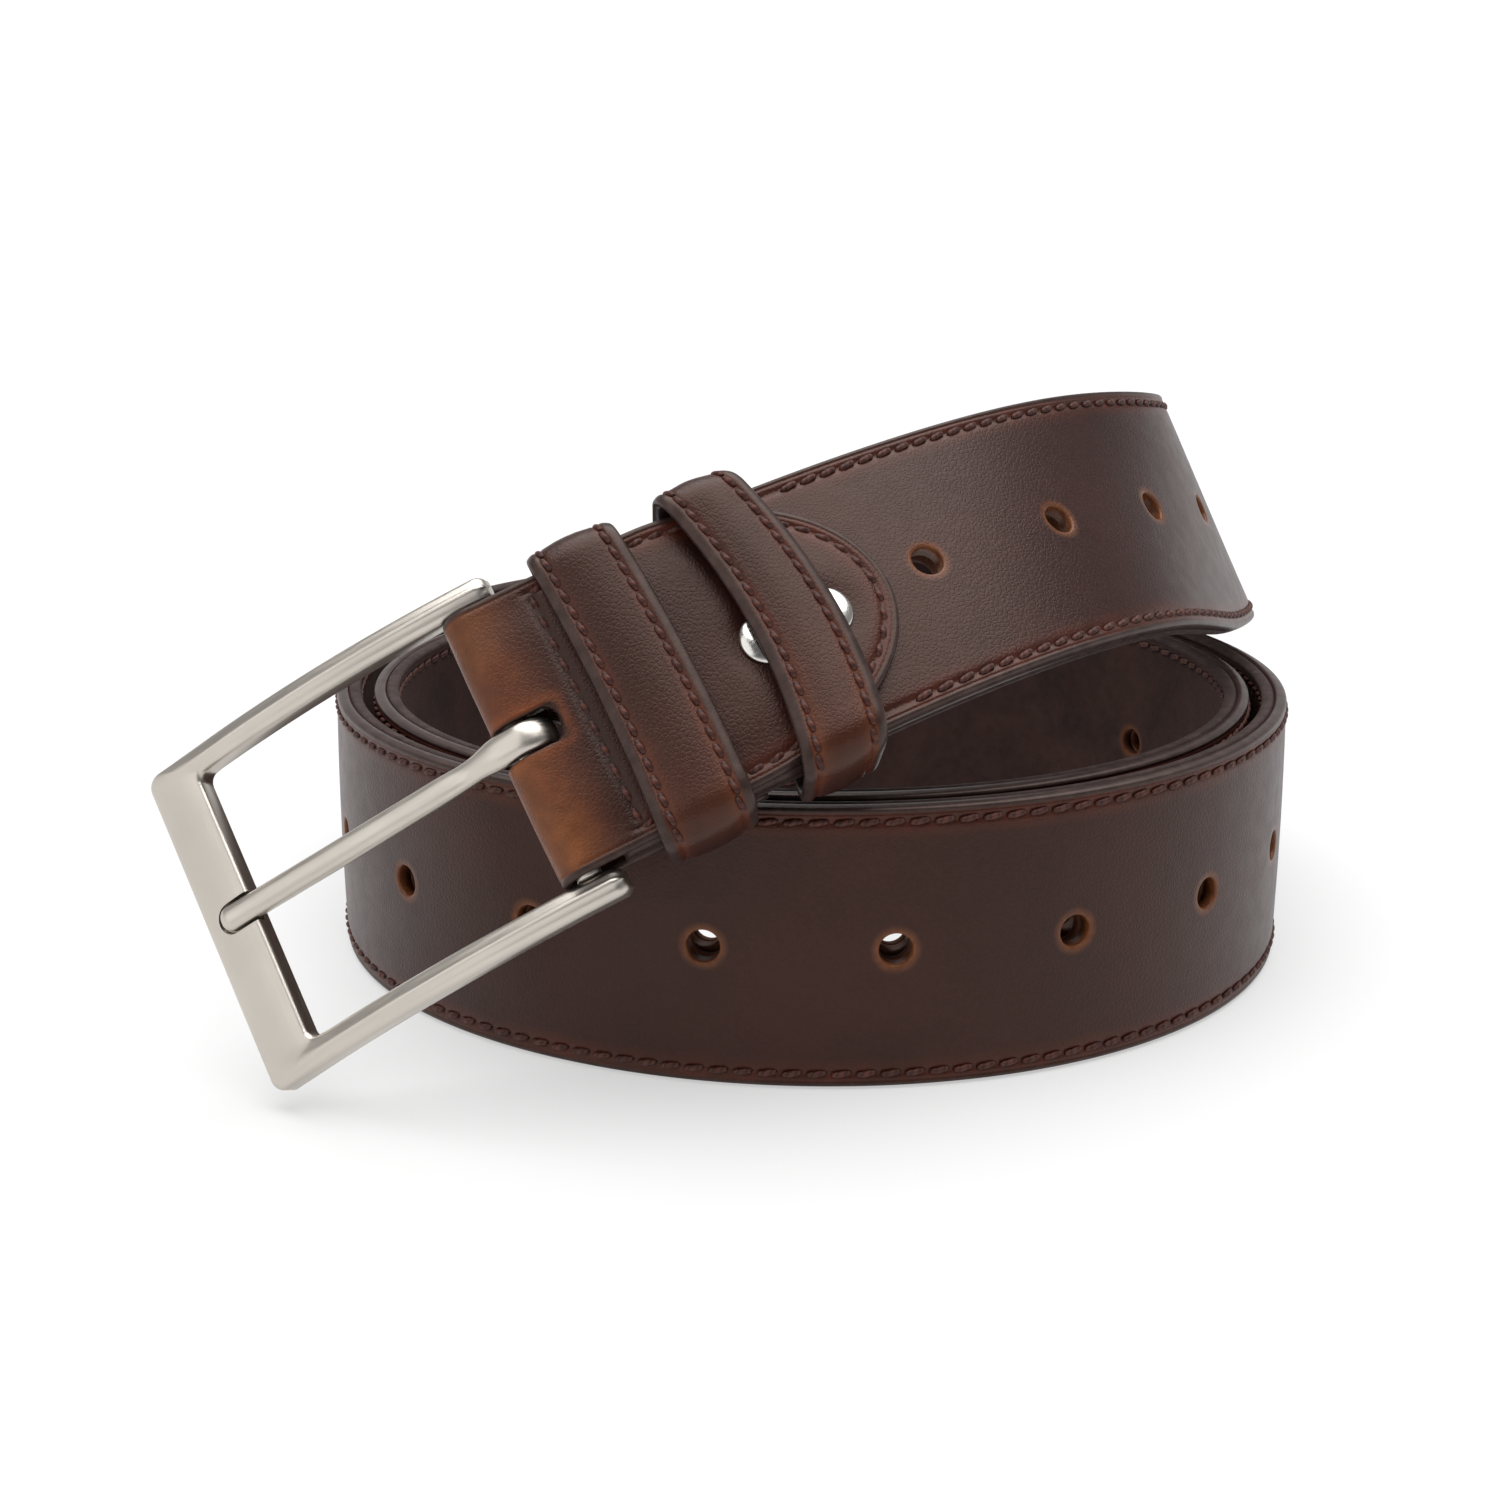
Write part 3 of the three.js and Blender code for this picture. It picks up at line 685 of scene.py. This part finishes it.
def leg_relief(t, across):
    """Height of the front leg's face over its flat one."""
    inset = leg_inset(t, across)
    sewn = smooth_step(TAB_SEAM_END - 1.5, TAB_SEAM_END, t)
    groove = -0.3 * np.exp(-(((inset - SEAM_INSET) / 0.5) ** 2)) * sewn
    crease = -0.12 * np.exp(-(((inset - 1.0) / 0.16) ** 2))
    crown = 0.3 * smooth_step(2.2, 9, inset)
    dimple = 0
    for back in SCREW_BACKS.values():
        from_screw = np.hypot(t - back, across - SCREW_ACROSS)
        dimple = dimple - 0.5 * np.exp(-((from_screw / (SCREW_RADIUS + 1.0)) ** 4))
    cross = -0.42 * np.exp(-(((t - CROSS_SEAM) / 0.6) ** 2)) * (np.abs(across) < 17.4)
    return groove + crease + crown + dimple + cross


def make_tab():
    theta = np.linspace(0, math.pi / 2, 44)
    long = FRONT_LEG_END - FRONT_LEG_SHOULDER
    rim_t = FRONT_LEG_SHOULDER + long * np.cos(theta)
    rim_w = HALF * np.sin(theta)
    normal = unit(np.column_stack([np.cos(theta) / long, np.sin(theta) / HALF]))
    straight = np.concatenate([
        np.linspace(FRONT_LEG_SHOULDER, SLOT_END + 5, 12)[1:],
        np.linspace(SLOT_END + 5, SLOT_END, 11)[1:],
        np.linspace(SLOT_END, BAR_BACK, 9)[1:],
        np.linspace(BAR_BACK, BAR_BACK - BEND, 25)[1:],
        np.linspace(BAR_BACK - BEND, SLOT_LOW, 9)[1:],
        np.linspace(SLOT_LOW, SLOT_LOW - 5, 8)[1:],
        np.linspace(SLOT_LOW - 5, 2 * BAR_BACK - BEND - BACK_LEG_END, 8)[1:],
    ])
    rim_t = np.concatenate([rim_t, straight])
    rim_w = np.concatenate([rim_w, np.full(len(straight), HALF)])
    normal = np.vstack([normal, np.tile([0, 1], (len(straight), 1))])
    rows = len(rim_t)
    insets = [0.35, 0.5, 0.7, 0.85, 1.0, 1.15, 1.4, 1.65, 1.9]
    insets = np.array(insets + [2.1, 2.3, 2.55, 2.9, 3.6, 4.6, 5.8, 7.2, 9.0])
    reach = HALF - insets[-1]
    middle_w = np.array([9.6, 8.2, 6.8, 5.6, 4.6, 3.8, 3.2, 2.8, 2.6, 2.2, 1.6, 0.8])
    middle = np.concatenate([middle_w, [0], -middle_w[::-1]])
    turn = np.radians([75, 50, 25, 0, -25, -50, -75])
    bead_inset = 0.35 - 0.35 * np.cos(turn)
    bead_height = (LEG_HALF_THICKNESS - 0.1) * np.sin(turn)

    def side_chain(sign, inset):
        return rim_t[:, None] - normal[:, :1] * inset, (rim_w[:, None] - normal[:, 1:] * inset) * sign

    def interior(order):
        a_t = rim_t - normal[:, 0] * insets[-1]
        a_w = rim_w - normal[:, 1] * insets[-1]
        return np.repeat(a_t[:, None], len(order), 1), a_w[:, None] * order[None] / reach

    top = [side_chain(1, insets), interior(middle), side_chain(-1, insets[::-1])]
    low_beads = side_chain(-1, bead_inset)
    under = [side_chain(-1, insets), interior(-middle), side_chain(1, insets[::-1])]
    up_beads = side_chain(1, bead_inset[::-1])
    parts = [*top, low_beads, *under, up_beads]
    t = np.concatenate([p[0] for p in parts], 1)
    w = np.concatenate([p[1] for p in parts], 1)
    wide = t.shape[1]
    face_count = 2 * len(insets) + len(middle)
    back_first = face_count + len(turn)
    face_part, back_part = slice(face_count), slice(back_first, back_first + face_count)
    beads = slice(face_count, back_first), slice(back_first + face_count, wide)
    bend_of_slot = np.where(
        np.abs(w) <= SLOT_HALF_WIDTH,
        1 - np.sqrt(np.maximum(0, 1 - (w / (SLOT_HALF_WIDTH * 1.02)) ** 2)),
        np.maximum(0, 1 - (np.abs(w) - SLOT_HALF_WIDTH) / 3.0) * 0.8,
    ) * 2.0
    near_front = np.exp(-(((t - SLOT_END) / 3.2) ** 2))
    near_back = np.exp(-(((t - SLOT_LOW) / 3.2) ** 2))
    t = t - bend_of_slot * near_front + bend_of_slot * near_back
    inset = leg_inset(t, w)
    fall = 0.24 * (1 - np.clip(inset / 0.8, 0, 1)) ** 2
    height = np.zeros_like(t)
    height[:, face_part] = (LEG_HALF_THICKNESS + leg_relief(t, w) - fall)[:, face_part]
    height[:, back_part] = fall[:, back_part] - LEG_HALF_THICKNESS
    height[:, beads[0]] = bead_height
    height[:, beads[1]] = bead_height[::-1]
    slot_rows = [i for i in range(rows) if SLOT_LOW - 1e-6 <= rim_t[i] <= SLOT_END + 1e-6]
    first_row, last_row = slot_rows[0], slot_rows[-1]
    in_slot = np.flatnonzero(np.abs(w[first_row]) < SLOT_HALF_WIDTH + 0.05).tolist()
    top_slot = [j for j in in_slot if j < face_count]
    under_slot = [j for j in in_slot if j >= back_first]
    for j in top_slot:
        for i in (first_row, last_row):
            height[i, j] -= 0.16
    for j in (top_slot[0], top_slot[-1]):
        height[first_row : last_row + 1, j] -= 0.16
    skip = {(i, j) for i in range(first_row, last_row) for j in (*top_slot[:-1], *under_slot[:-1])}
    faces = strips(rows, wide, skip) + [last_cap(rows, wide)]
    outline = [(first_row, j) for j in range(len(top_slot))]
    outline += [(i, len(top_slot) - 1) for i in range(first_row + 1, last_row + 1)]
    outline += [(last_row, j) for j in range(len(top_slot) - 2, -1, -1)]
    outline += [(i, 0) for i in range(last_row - 1, first_row, -1)]
    for (i, j), (p, q) in zip(outline, outline[1:] + outline[:1]):
        a, b = i * wide + top_slot[j], p * wide + top_slot[q]
        c, d = p * wide + under_slot[-1 - q], i * wide + under_slot[-1 - j]
        faces.append((a, b, c, d))
    points = leg_place(t, w, height).reshape(-1, 3)
    paint = np.clip((0.95 - inset) / 0.3, 0, 1)
    for part in beads:
        paint[:, part] = 1
    from_slot = np.hypot(
        np.maximum(0, np.maximum(t - SLOT_END, SLOT_LOW - t)), np.maximum(0, np.abs(w) - SLOT_HALF_WIDTH)
    )
    bend_end = BAR_BACK - BEND
    fold = smooth_step(CROSS_SEAM - 0.8, BAR_BACK - 0.5, t) * smooth_step(bend_end - 5, bend_end + 4, t)
    lower = 0.75 + 0.25 * smooth_step(4, -16, w)
    halo = np.exp(-(((from_slot - 0.5) / 0.9) ** 2)) * 0.5
    tan = np.clip(0.72 * fold * lower + halo, 0, 1) * (1 - 0.5 * paint)
    # Painted shade: near black inside the slot and at its rim, and along the sunk cross seam row.
    painted_shade = 0.9 * (1 - smooth_step(0.0, 0.35, from_slot))
    painted_shade = painted_shade + 0.6 * np.exp(-(((t - CROSS_SEAM) / 1.1) ** 2)) * (np.abs(w) < HALF - SEAM_INSET)
    band = smooth_step(5.0, 2.6, inset) * (inset > 0.9) * (t > CROSS_SEAM)
    flat = {"paint": paint, "tan": tan, "painted_shade": painted_shade, "band": band, "raw": np.zeros_like(t)}
    values = {key: v.ravel() for key, v in flat.items()}
    add("buckle_tab_leather", points, faces, LEATHER, "belt", ["buckle_tab"], values)


make_tab()


def leg_frames(t, across, toward_t, toward_w):
    """Places on the front leg's face with the direction of a seam there, and the face's normal."""
    small = 0.4
    height = LEG_HALF_THICKNESS + leg_relief(t, across)
    here = leg_place(t, across, height)
    ahead = leg_place(t + toward_t * small, across + toward_w * small, height)
    behind = leg_place(t - toward_t * small, across - toward_w * small, height)
    raised = leg_place(t, across, height + small)
    along = unit(ahead - behind)
    return here, along, square_to(along, unit(raised - here))


def make_tab_seams():
    angle = np.linspace(math.pi / 2, -math.pi / 2, 600)
    arc_t = FRONT_LEG_SHOULDER + SEAM_LENGTH * np.cos(angle)
    arc_w = (HALF - SEAM_INSET) * np.sin(angle)
    line_t = np.concatenate([[TAB_SEAM_END], arc_t, [TAB_SEAM_END]])
    line_w = np.concatenate([[HALF - SEAM_INSET], arc_w, [SEAM_INSET - HALF]])
    at = np.concatenate([[0], np.cumsum(np.hypot(np.diff(line_t), np.diff(line_w)))])
    pitch = at[-1] / round(at[-1] / 2.85)
    middle = np.arange(pitch / 2, at[-1], pitch)
    t, w = np.interp(middle, at, line_t), np.interp(middle, at, line_w)
    dt = np.interp(middle + 0.5, at, line_t) - np.interp(middle - 0.5, at, line_t)
    dw = np.interp(middle + 0.5, at, line_w) - np.interp(middle - 0.5, at, line_w)
    size = np.hypot(dt, dw)
    edge = leg_frames(t, w, dt / size, dw / size)
    sew("tab_edge_stitches", "belt", "tab_edge_thread", *edge, 2.55, 0.92, 0.86, 10)
    w = np.linspace(16.2, -16.2, 11)
    cross = leg_frames(np.full(len(w), CROSS_SEAM), w, np.zeros(len(w)), -np.ones(len(w)))
    sew("tab_cross_stitches", "belt", "tab_cross_thread", *cross, 2.7, 0.95, 0.8, 10)


make_tab_seams()


# ---- the keepers ----
def rounded_loop(left, right, bottom, top, radius, steps):
    """Points of a rounded rectangle with its outward directions, evenly enough spaced."""
    points, normals = [], []
    centres = [(right - radius, top - radius), (left + radius, top - radius)]
    centres += [(left + radius, bottom + radius), (right - radius, bottom + radius)]
    for quarter, (x, y) in enumerate(centres):
        for i in range(steps + 1):
            angle = (quarter + i / steps) * math.pi / 2
            normals.append((math.cos(angle), math.sin(angle)))
            points.append((x + radius * math.cos(angle), y + radius * math.sin(angle)))
        following = (quarter + 1) % 4
        x, y = centres[following]
        angle = following * math.pi / 2
        after = (x + radius * math.cos(angle), y + radius * math.sin(angle))
        last = points[-1]
        extra = max(1, int(math.dist(last, after) / 1.4))
        for i in range(1, extra):
            f = i / extra
            points.append((last[0] + (after[0] - last[0]) * f, last[1] + (after[1] - last[1]) * f))
            normals.append(normals[-1])
    return np.array(points), np.array(normals)


def make_keeper(name, node, body):
    """A leather loop round the strap, its middle bowed back along it, with a seam by each edge."""
    middle, width, bow, left, right, bottom, top = KEEPERS[node]
    half = width / 2

    def bowed(w):
        return middle + bow * (1 - (w / left) ** 2)

    loop, normals = rounded_loop(left, right, bottom, top, KEEPER_CORNER, 8)
    insets = np.array([0.2, 0.4, 0.65, 0.9, 1.15, 1.4, 1.6, 1.75, 1.9, 2.05, 2.2, 2.4, 2.7, 3.2, 3.9, 4.7])
    surface = np.concatenate([insets, [half], 2 * half - insets[::-1]])
    turn = np.radians([60, 30, 0, -30, -60])
    bead = 0.25 - 0.25 * np.cos(turn)
    bead_height = (KEEPER_THICKNESS / 2 - 0.5) * np.sin(turn)
    inset = np.minimum(surface, 2 * half - surface)
    groove = -0.3 * np.exp(-(((inset - KEEPER_SEAM_INSET) / 0.4) ** 2))
    crown = 0.3 * smooth_step(2.2, 5.5, inset)
    fall = 0.62 * (1 - np.clip(inset / 1.5, 0, 1)) ** 2
    high = KEEPER_THICKNESS / 2 + groove + crown - fall
    low = -KEEPER_THICKNESS / 2 + 0.5 * fall
    x = np.concatenate([surface, 2 * half - bead, surface[::-1], bead[::-1]]) - half
    z = np.concatenate([high, bead_height, low[::-1], bead_height[::-1]])
    mid = KEEPER_THICKNESS / 2
    w = loop[:, :1] + normals[:, :1] * (mid + z[None])
    o = loop[:, 1:] + normals[:, 1:] * (mid + z[None])
    points = place(bowed(w) + x[None], w, o)
    rows, columns = len(loop), len(x)
    last = (rows - 1) * columns
    around = [(j + 1) % columns for j in range(columns)]
    faces = strips(rows, columns) + [(last + j, last + k, k, j) for j, k in enumerate(around)]
    from_edge = half - np.abs(x)
    paint = np.clip((1.5 - from_edge) / 0.3, 0, 1)
    paint[len(surface) : len(surface) + len(bead)] = 1
    paint[-len(bead) :] = 1
    paint = np.tile(paint, rows)
    band = np.tile(smooth_step(3.4, 2.2, from_edge), rows)
    low_end = smooth_step(2, -HALF - 1, w) * smooth_step(-1.0, 3.0, o)
    tan = (0.3 * low_end * (0.4 + 0.6 * smooth_step(4.6, 1.4, from_edge)[None])).ravel() * (1 - paint)
    nothing = np.zeros(rows * columns)
    values = {"paint": paint, "band": band, "tan": tan, "painted_shade": nothing, "raw": nothing}
    add(name, points.reshape(-1, 3), faces, LEATHER, body, [node], values)
    radius = KEEPER_CORNER + KEEPER_THICKNESS - 0.16
    ends = (left + KEEPER_CORNER, right - KEEPER_CORNER)
    start, reach = ends[0] - radius * 1.15, ends[1] + radius * 1.15
    count = round((reach - start) / 2.6)
    run = start + (np.arange(count) + 0.5) * (reach - start) / count

    def on_face(run, inset, lift=0.0):
        flat = np.clip(run, *ends)
        angle = (run - flat) / radius
        across = flat + (radius + lift) * np.sin(angle)
        out = top - KEEPER_CORNER + (radius + lift) * np.cos(angle)
        return place(bowed(across) + inset, across, out)

    for side, sign in (("left", -1), ("right", 1)):
        inset = sign * (half - KEEPER_SEAM_INSET)
        here = on_face(run, inset)
        along = unit(on_face(run + 0.3, inset) - on_face(run - 0.3, inset))
        normal = square_to(along, unit(on_face(run, inset, 0.5) - here))
        row = (here, along, normal, 2.5, 0.86, 0.8, 12)
        sew(f"{name}_stitches_{side}", body, f"{node}_thread_{side}", *row)


make_keeper("fixed_keeper", "keeper_fixed", "belt")
make_keeper("sliding_keeper", "keeper_sliding", "keeper")


# ---- the binding screws ----
def make_screw(name, back):
    """A domed screw head on the tab, and the flange of its post behind the strap."""
    _, along, up, out = (v[0] for v in strap_frames(np.array([float(back)])))
    origin = place(back, SCREW_ACROSS, 0)
    base = STRAP_HALF_THICKNESS + 0.3 + 2 * LEG_HALF_THICKNESS - 0.1
    r = SCREW_RADIUS
    head = [(POINT, -1), (1.1, -1), (1.1, base), (r - 0.35, base), (r - 0.1, base + 0.06), (r, base + 0.2)]
    dome = np.linspace(0, math.pi / 2 - 0.01, 16)
    head += [(r * math.cos(k), base + 0.34 + 0.95 * math.sin(k)) for k in dome]
    flange = -STRAP_HALF_THICKNESS - 0.02
    post = [(POINT, flange - 0.85), (r * 0.5, flange - 0.8), (r * 0.8, flange - 0.62)]
    post += [(r * 0.96, flange - 0.35), (r, flange - 0.1), (r - 0.1, flange), (1.9, flange)]
    post += [(1.9, 3.2), (1.4, 3.2), (1.4, -1.3), (POINT, -1.3)]
    shapes = [(f"screw_head_{name}", f"screw_{name}", head)]
    shapes.append((f"screw_flange_{name}", f"screw_post_{name}", post))
    for piece, node, profile in shapes:
        points, faces = loft(lathe(profile, 64, origin, out, along))
        values = grain(*((points - origin) @ np.column_stack([along, up, out])).T)
        add(piece, points, faces, POLISHED, "belt", [node], values, sharp=50)


for place_name, screw_back in SCREW_BACKS.items():
    make_screw(place_name, screw_back)


# ---- the buckle ----
_, fold_along, fold_up, fold_out = (v[0] for v in strap_frames(np.array([BAR_BACK])))
bar_centre = place(BAR_BACK, 0, 0)
REACH = fold_along * math.cos(FRAME_DROOP) - fold_out * math.sin(FRAME_DROOP)
ACROSS = fold_up
FACE = np.cross(ACROSS, REACH)
AXES = np.column_stack([REACH, ACROSS, FACE])


def in_buckle(points):
    return np.asarray(points) @ AXES.T + bar_centre


def bulge(x):
    return FRAME_BULGE * x * (FRAME_REACH - x) / (FRAME_REACH / 2) ** 2


def make_frame():
    side, inner = FRAME_HALF_WIDTH, FRAME_HALF_WIDTH - ARM_WIDTH
    inner_reach = FRAME_REACH - OUTER_BAR_WIDTH
    corner, tight = 1.9, 1.5
    pairs = []
    end_curve = np.linspace(0, math.pi / 2, 9)
    for x, trim in zip(-4.2 + 1.4 * (1 - np.cos(end_curve)), 1 - np.sin(end_curve)):
        pairs.append(((x, side - trim), (x, inner + trim), 0.0))
    pairs += [((x, side), (x, inner), 0.0) for x in np.linspace(-1.5, inner_reach - 2.5, 40)]
    for angle in np.linspace(0, math.pi / 2, 15):
        s, c = math.sin(angle), math.cos(angle)
        outer_point = (FRAME_REACH - corner + corner * s, side - corner + corner * c)
        inner_point = (inner_reach - tight + tight * s, inner - tight + tight * c)
        pairs.append((outer_point, inner_point, angle / (math.pi / 2)))
    for y in np.linspace(side - 3.6, 0, 26)[1:]:
        pairs.append(((FRAME_REACH, y), (inner_reach, min(y, inner - tight)), 1.0))
    pairs += [((a[0], -a[1]), (b[0], -b[1]), k) for a, b, k in reversed(pairs[:-1])]
    turn = np.radians(np.linspace(0, 90, 6))
    rings, values = [], []
    for outer_point, inner_point, flat in pairs:
        a, b = np.array(outer_point), np.array(inner_point)
        wide = np.linalg.norm(b - a)
        toward = (b - a) / wide
        shrink = 0.35 + 0.65 * math.sqrt(max(0.0, 1 - max(0.0, (-2.8 - a[0]) / 1.41) ** 2))
        h, low = FRAME_HALF_HEIGHT, 0.7
        r = 1.25 * (1 - flat) + 0.75 * flat
        crown = 0.42 * (1 - flat) + 0.12 * flat
        section = [(r - r * math.cos(k), h - r + r * math.sin(k)) for k in turn]
        for f in (0.2, 0.35, 0.5, 0.65, 0.8):
            section.append((r + (wide - 2 * r) * f, h + crown * 4 * f * (1 - f)))
        section += [(wide - r + r * math.cos(k), h - r + r * math.sin(k)) for k in turn[::-1]]
        section += [(wide - low + low * math.cos(k), -h + low - low * math.sin(k)) for k in turn[1:]]
        section += [(low - low * math.cos(k), -h + low - low * math.sin(k)) for k in turn[:0:-1]]
        ring = []
        for q, z in section:
            x, y = a + toward * q
            ring.append((x, y, z * shrink + bulge(x)))
            values.append((y, x, z) if flat > 0.5 else (x, y, z))
        rings.append(ring)
    points, faces = loft(rings)
    return add("buckle_frame_metal", in_buckle(points), faces, BRUSHED, "buckle",
               ["buckle_frame"], grain(*np.array(values).T), sharp=48)


def notch_cutter():
    """The blind notch for the tongue's tip, as a solid to cut away."""
    turn = np.radians(np.linspace(0, 90, 6))
    rings = []
    notch_half, floor = TONGUE_WIDTH / 2 + 0.35, TONGUE_BOTTOM - 0.35
    notch_end = TONGUE_REACH + 1
    near = np.linspace(FRAME_REACH - 12, notch_end - 2.2, 6)
    curve = np.linspace(0, math.pi / 2, 9)[1:]
    stops = [(x, 1.0) for x in near]
    stops += [(notch_end - 2.2 + 2.2 * math.sin(k), max(0.05, math.cos(k))) for k in curve]
    for x, share in stops:
        ring = [(x, (notch_half + 0.5) * share, floor + 6), (x, notch_half * share, floor + 1.6)]
        for k in turn:
            ring.append((x, share * (notch_half - 0.7 + 0.7 * math.cos(k)), floor + 0.7 - 0.7 * math.sin(k)))
        ring += [(p[0], -p[1], p[2]) for p in reversed(ring)]
        rings.append(ring)
    points, faces = loft(rings)
    cutter = bpy.data.objects.new("notch", closed_mesh("notch", in_buckle(points), faces))
    bpy.context.scene.collection.objects.link(cutter)
    return cutter


def cut_notch(piece):
    cutter = notch_cutter()
    cutting = piece.modifiers.new("notch", "BOOLEAN")
    cutting.object = cutter
    cutting.solver = "EXACT"
    bpy.context.view_layer.update()
    made = bpy.data.meshes.new_from_object(piece.evaluated_get(bpy.context.evaluated_depsgraph_get()))
    piece.modifiers.clear()
    piece.data = made
    bpy.data.objects.remove(cutter)
    made.shade_smooth()
    made.set_sharp_from_angle(angle=math.radians(40))
    soften = piece.modifiers.new("soft_edges", "BEVEL")
    soften.width = 0.12 * MM
    soften.segments = 2
    soften.limit_method = "ANGLE"
    soften.angle_limit = math.radians(50)


cut_notch(make_frame())


def make_bar():
    reach = FRAME_HALF_WIDTH - ARM_WIDTH - 0.1
    profile = [(POINT, -reach), (BAR_RADIUS - 0.2, -reach), (BAR_RADIUS, -reach + 0.2)]
    profile += [(BAR_RADIUS, y) for y in np.linspace(-reach + 1, reach - 1, 12)]
    profile += [(BAR_RADIUS, reach - 0.2), (BAR_RADIUS - 0.2, reach), (POINT, reach)]
    points, faces = loft(lathe(profile, 48, bar_centre, ACROSS, REACH))
    x, y, z = ((points - bar_centre) @ AXES).T
    add("buckle_bar_metal", points, faces, BRUSHED, "buckle", ["buckle_bar"],
        grain(y, x, z), sharp=50)


make_bar()


def make_tongue():
    """An eye round the bar whose strip runs on as the shank and ends in a rounded tip."""
    thickness = 2.4
    ring_radius = BAR_RADIUS + 0.25 + thickness / 2
    line, normals, halves, thick = [], [], [], []
    start, finish = math.radians(-42), math.radians(-270)
    for angle in np.linspace(start, finish, 40):
        line.append((ring_radius * math.cos(angle), ring_radius * math.sin(angle)))
        normals.append((math.cos(angle), math.sin(angle)))
        grown = smooth_step(start, start - 0.5, angle)
        halves.append(TONGUE_WIDTH / 2 + 0.4)
        thick.append(thickness * (0.3 + 0.7 * float(grown)))
    first_x, last_x = 1.2, TONGUE_REACH - 1.2
    for x in np.linspace(first_x, last_x, 64):
        drop = float(smooth_step(2.0, 10.0, x))
        z = ring_radius * (1 - drop) + (2.2 + 0.45 * (x / last_x) ** 2) * drop
        z -= 0.1 * float(smooth_step(last_x - 5, last_x, x))
        line.append((x, z))
        neck = math.exp(-(((x - 8.5) / 3.0) ** 2))
        head = 1 - float(smooth_step(3.0, 7.0, x))
        halves.append(TONGUE_WIDTH / 2 + 0.4 * head - 0.12 * neck)
        thick.append(thickness + 0.25 * float(smooth_step(8, 16, x)) - 0.25 * neck)
        normals.append(None)
    end = line[-1]
    for k in np.linspace(0, math.pi / 2, 9)[1:]:
        line.append((end[0] + 1.2 * math.sin(k), end[1] - 0.4 * (1 - math.cos(k))))
        halves.append(TONGUE_WIDTH / 2 * max(0.02, math.cos(k)) ** 0.6)
        thick.append((thickness + 0.25) * max(0.03, math.cos(k)) ** 0.6)
        normals.append(None)
    line = np.array(line)
    tangent = unit(np.gradient(line, axis=0))
    count = 20
    angles = np.linspace(0, 2 * math.pi, count, endpoint=False)
    square = 2.5
    c, s = np.cos(angles), np.sin(angles)
    shape_y = np.sign(c) * np.abs(c) ** (2 / square)
    shape_z = np.sign(s) * np.abs(s) ** (2 / square)
    rings, values = [], []
    for i, (x, z) in enumerate(line):
        n = np.array(normals[i]) if normals[i] is not None else np.array([-tangent[i, 1], tangent[i, 0]])
        if i and normals[i] is None and n[1] < 0:
            n = -n
        ring = []
        for a, b in zip(shape_y, shape_z):
            h = b * thick[i] / 2
            ring.append((x + n[0] * h, a * halves[i], z + n[1] * h))
            values.append((i * 0.9, a * halves[i], h))
        rings.append(ring)
    points, faces = loft(rings)
    add("buckle_tongue", in_buckle(points), faces, BRUSHED, "tongue", ["tongue"],
        grain(*np.array(values).T), sharp=50)


make_tongue()


# ---- the studio ----
low, high = (np.array(v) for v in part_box("strap_outer"))
size = float(np.linalg.norm(high - low))


def make_floor():
    mesh = bpy.data.meshes.new("floor")
    reach = 40 * size
    corners = [(-reach, -reach, 0), (reach, -reach, 0), (reach, reach, 0), (-reach, reach, 0)]
    mesh.from_pydata(corners, [], [(0, 1, 2, 3)])
    material = bpy.data.materials.new("floor")
    material.use_nodes = True
    surface = material.node_tree.nodes["Principled BSDF"]
    looks = {"Base Color": (0.35, 0.35, 0.35, 1), "Roughness": 0.75, "Specular IOR Level": 0.2}
    looks |= {"Emission Color": (1, 1, 1, 1), "Emission Strength": 0.5}
    for key, value in looks.items():
        surface.inputs[key].default_value = value
    mesh.materials.append(material)
    floor = bpy.data.objects.new("floor", mesh)
    floor.location.z = min(0.0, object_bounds()[0].z) - 0.0001
    bpy.context.scene.collection.objects.link(floor)


make_floor()


def make_light(name, toward, spread, energy):
    """A far soft panel, as wide as spread in degrees."""
    light = bpy.data.lights.new(name, "SUN")
    light.energy = energy
    light.angle = math.radians(spread)
    lamp = bpy.data.objects.new(name, light)
    lamp.rotation_mode = "QUATERNION"
    lamp.rotation_quaternion = Vector(toward).to_track_quat("Z", "Y")
    bpy.context.scene.collection.objects.link(lamp)


make_light("overhead", (0.02, 0.12, 1), 76, 3.9)
make_light("left", (-0.7, -0.6, 0.5), 50, 0.6)


def make_world():
    """Pale near the horizon, dimmer high up and in front."""
    world = bpy.data.worlds.new("studio")
    world.use_nodes = True
    nodes, links = world.node_tree.nodes, world.node_tree.links
    split = nodes.new("ShaderNodeSeparateXYZ")
    links.new(nodes.new("ShaderNodeTexCoord").outputs["Generated"], split.inputs[0])
    strength = nodes.new("ShaderNodeMath")
    strength.operation = "MULTIPLY"
    overhead = smooth_range(world.node_tree, split.outputs["Z"], 0.1, 0.35, 1.02, 0.3)
    front = smooth_range(world.node_tree, split.outputs["Y"], -0.7, -0.1, 0.5, 1.0)
    links.new(overhead, strength.inputs[0])
    links.new(front, strength.inputs[1])
    nodes["Background"].inputs["Color"].default_value = (1, 1, 1, 1)
    links.new(strength.outputs[0], nodes["Background"].inputs["Strength"])
    bpy.context.scene.world = world


make_world()
bpy.context.scene.view_settings.view_transform = "Standard"

CAMERA_PLACE = (-1.78, -381.23, 135.44)
CAMERA_DOWN = 15.98  # degrees that it looks down from level
camera = bpy.data.cameras.new("camera")
camera.sensor_width = 36
camera.lens = 58.42
camera.clip_start, camera.clip_end = 0.01, 100
view = bpy.data.objects.new("camera", camera)
view.location = [v * MM for v in CAMERA_PLACE]
view.rotation_euler = (math.radians(90 - CAMERA_DOWN), 0, 0)
bpy.context.scene.collection.objects.link(view)
bpy.context.scene.camera = view
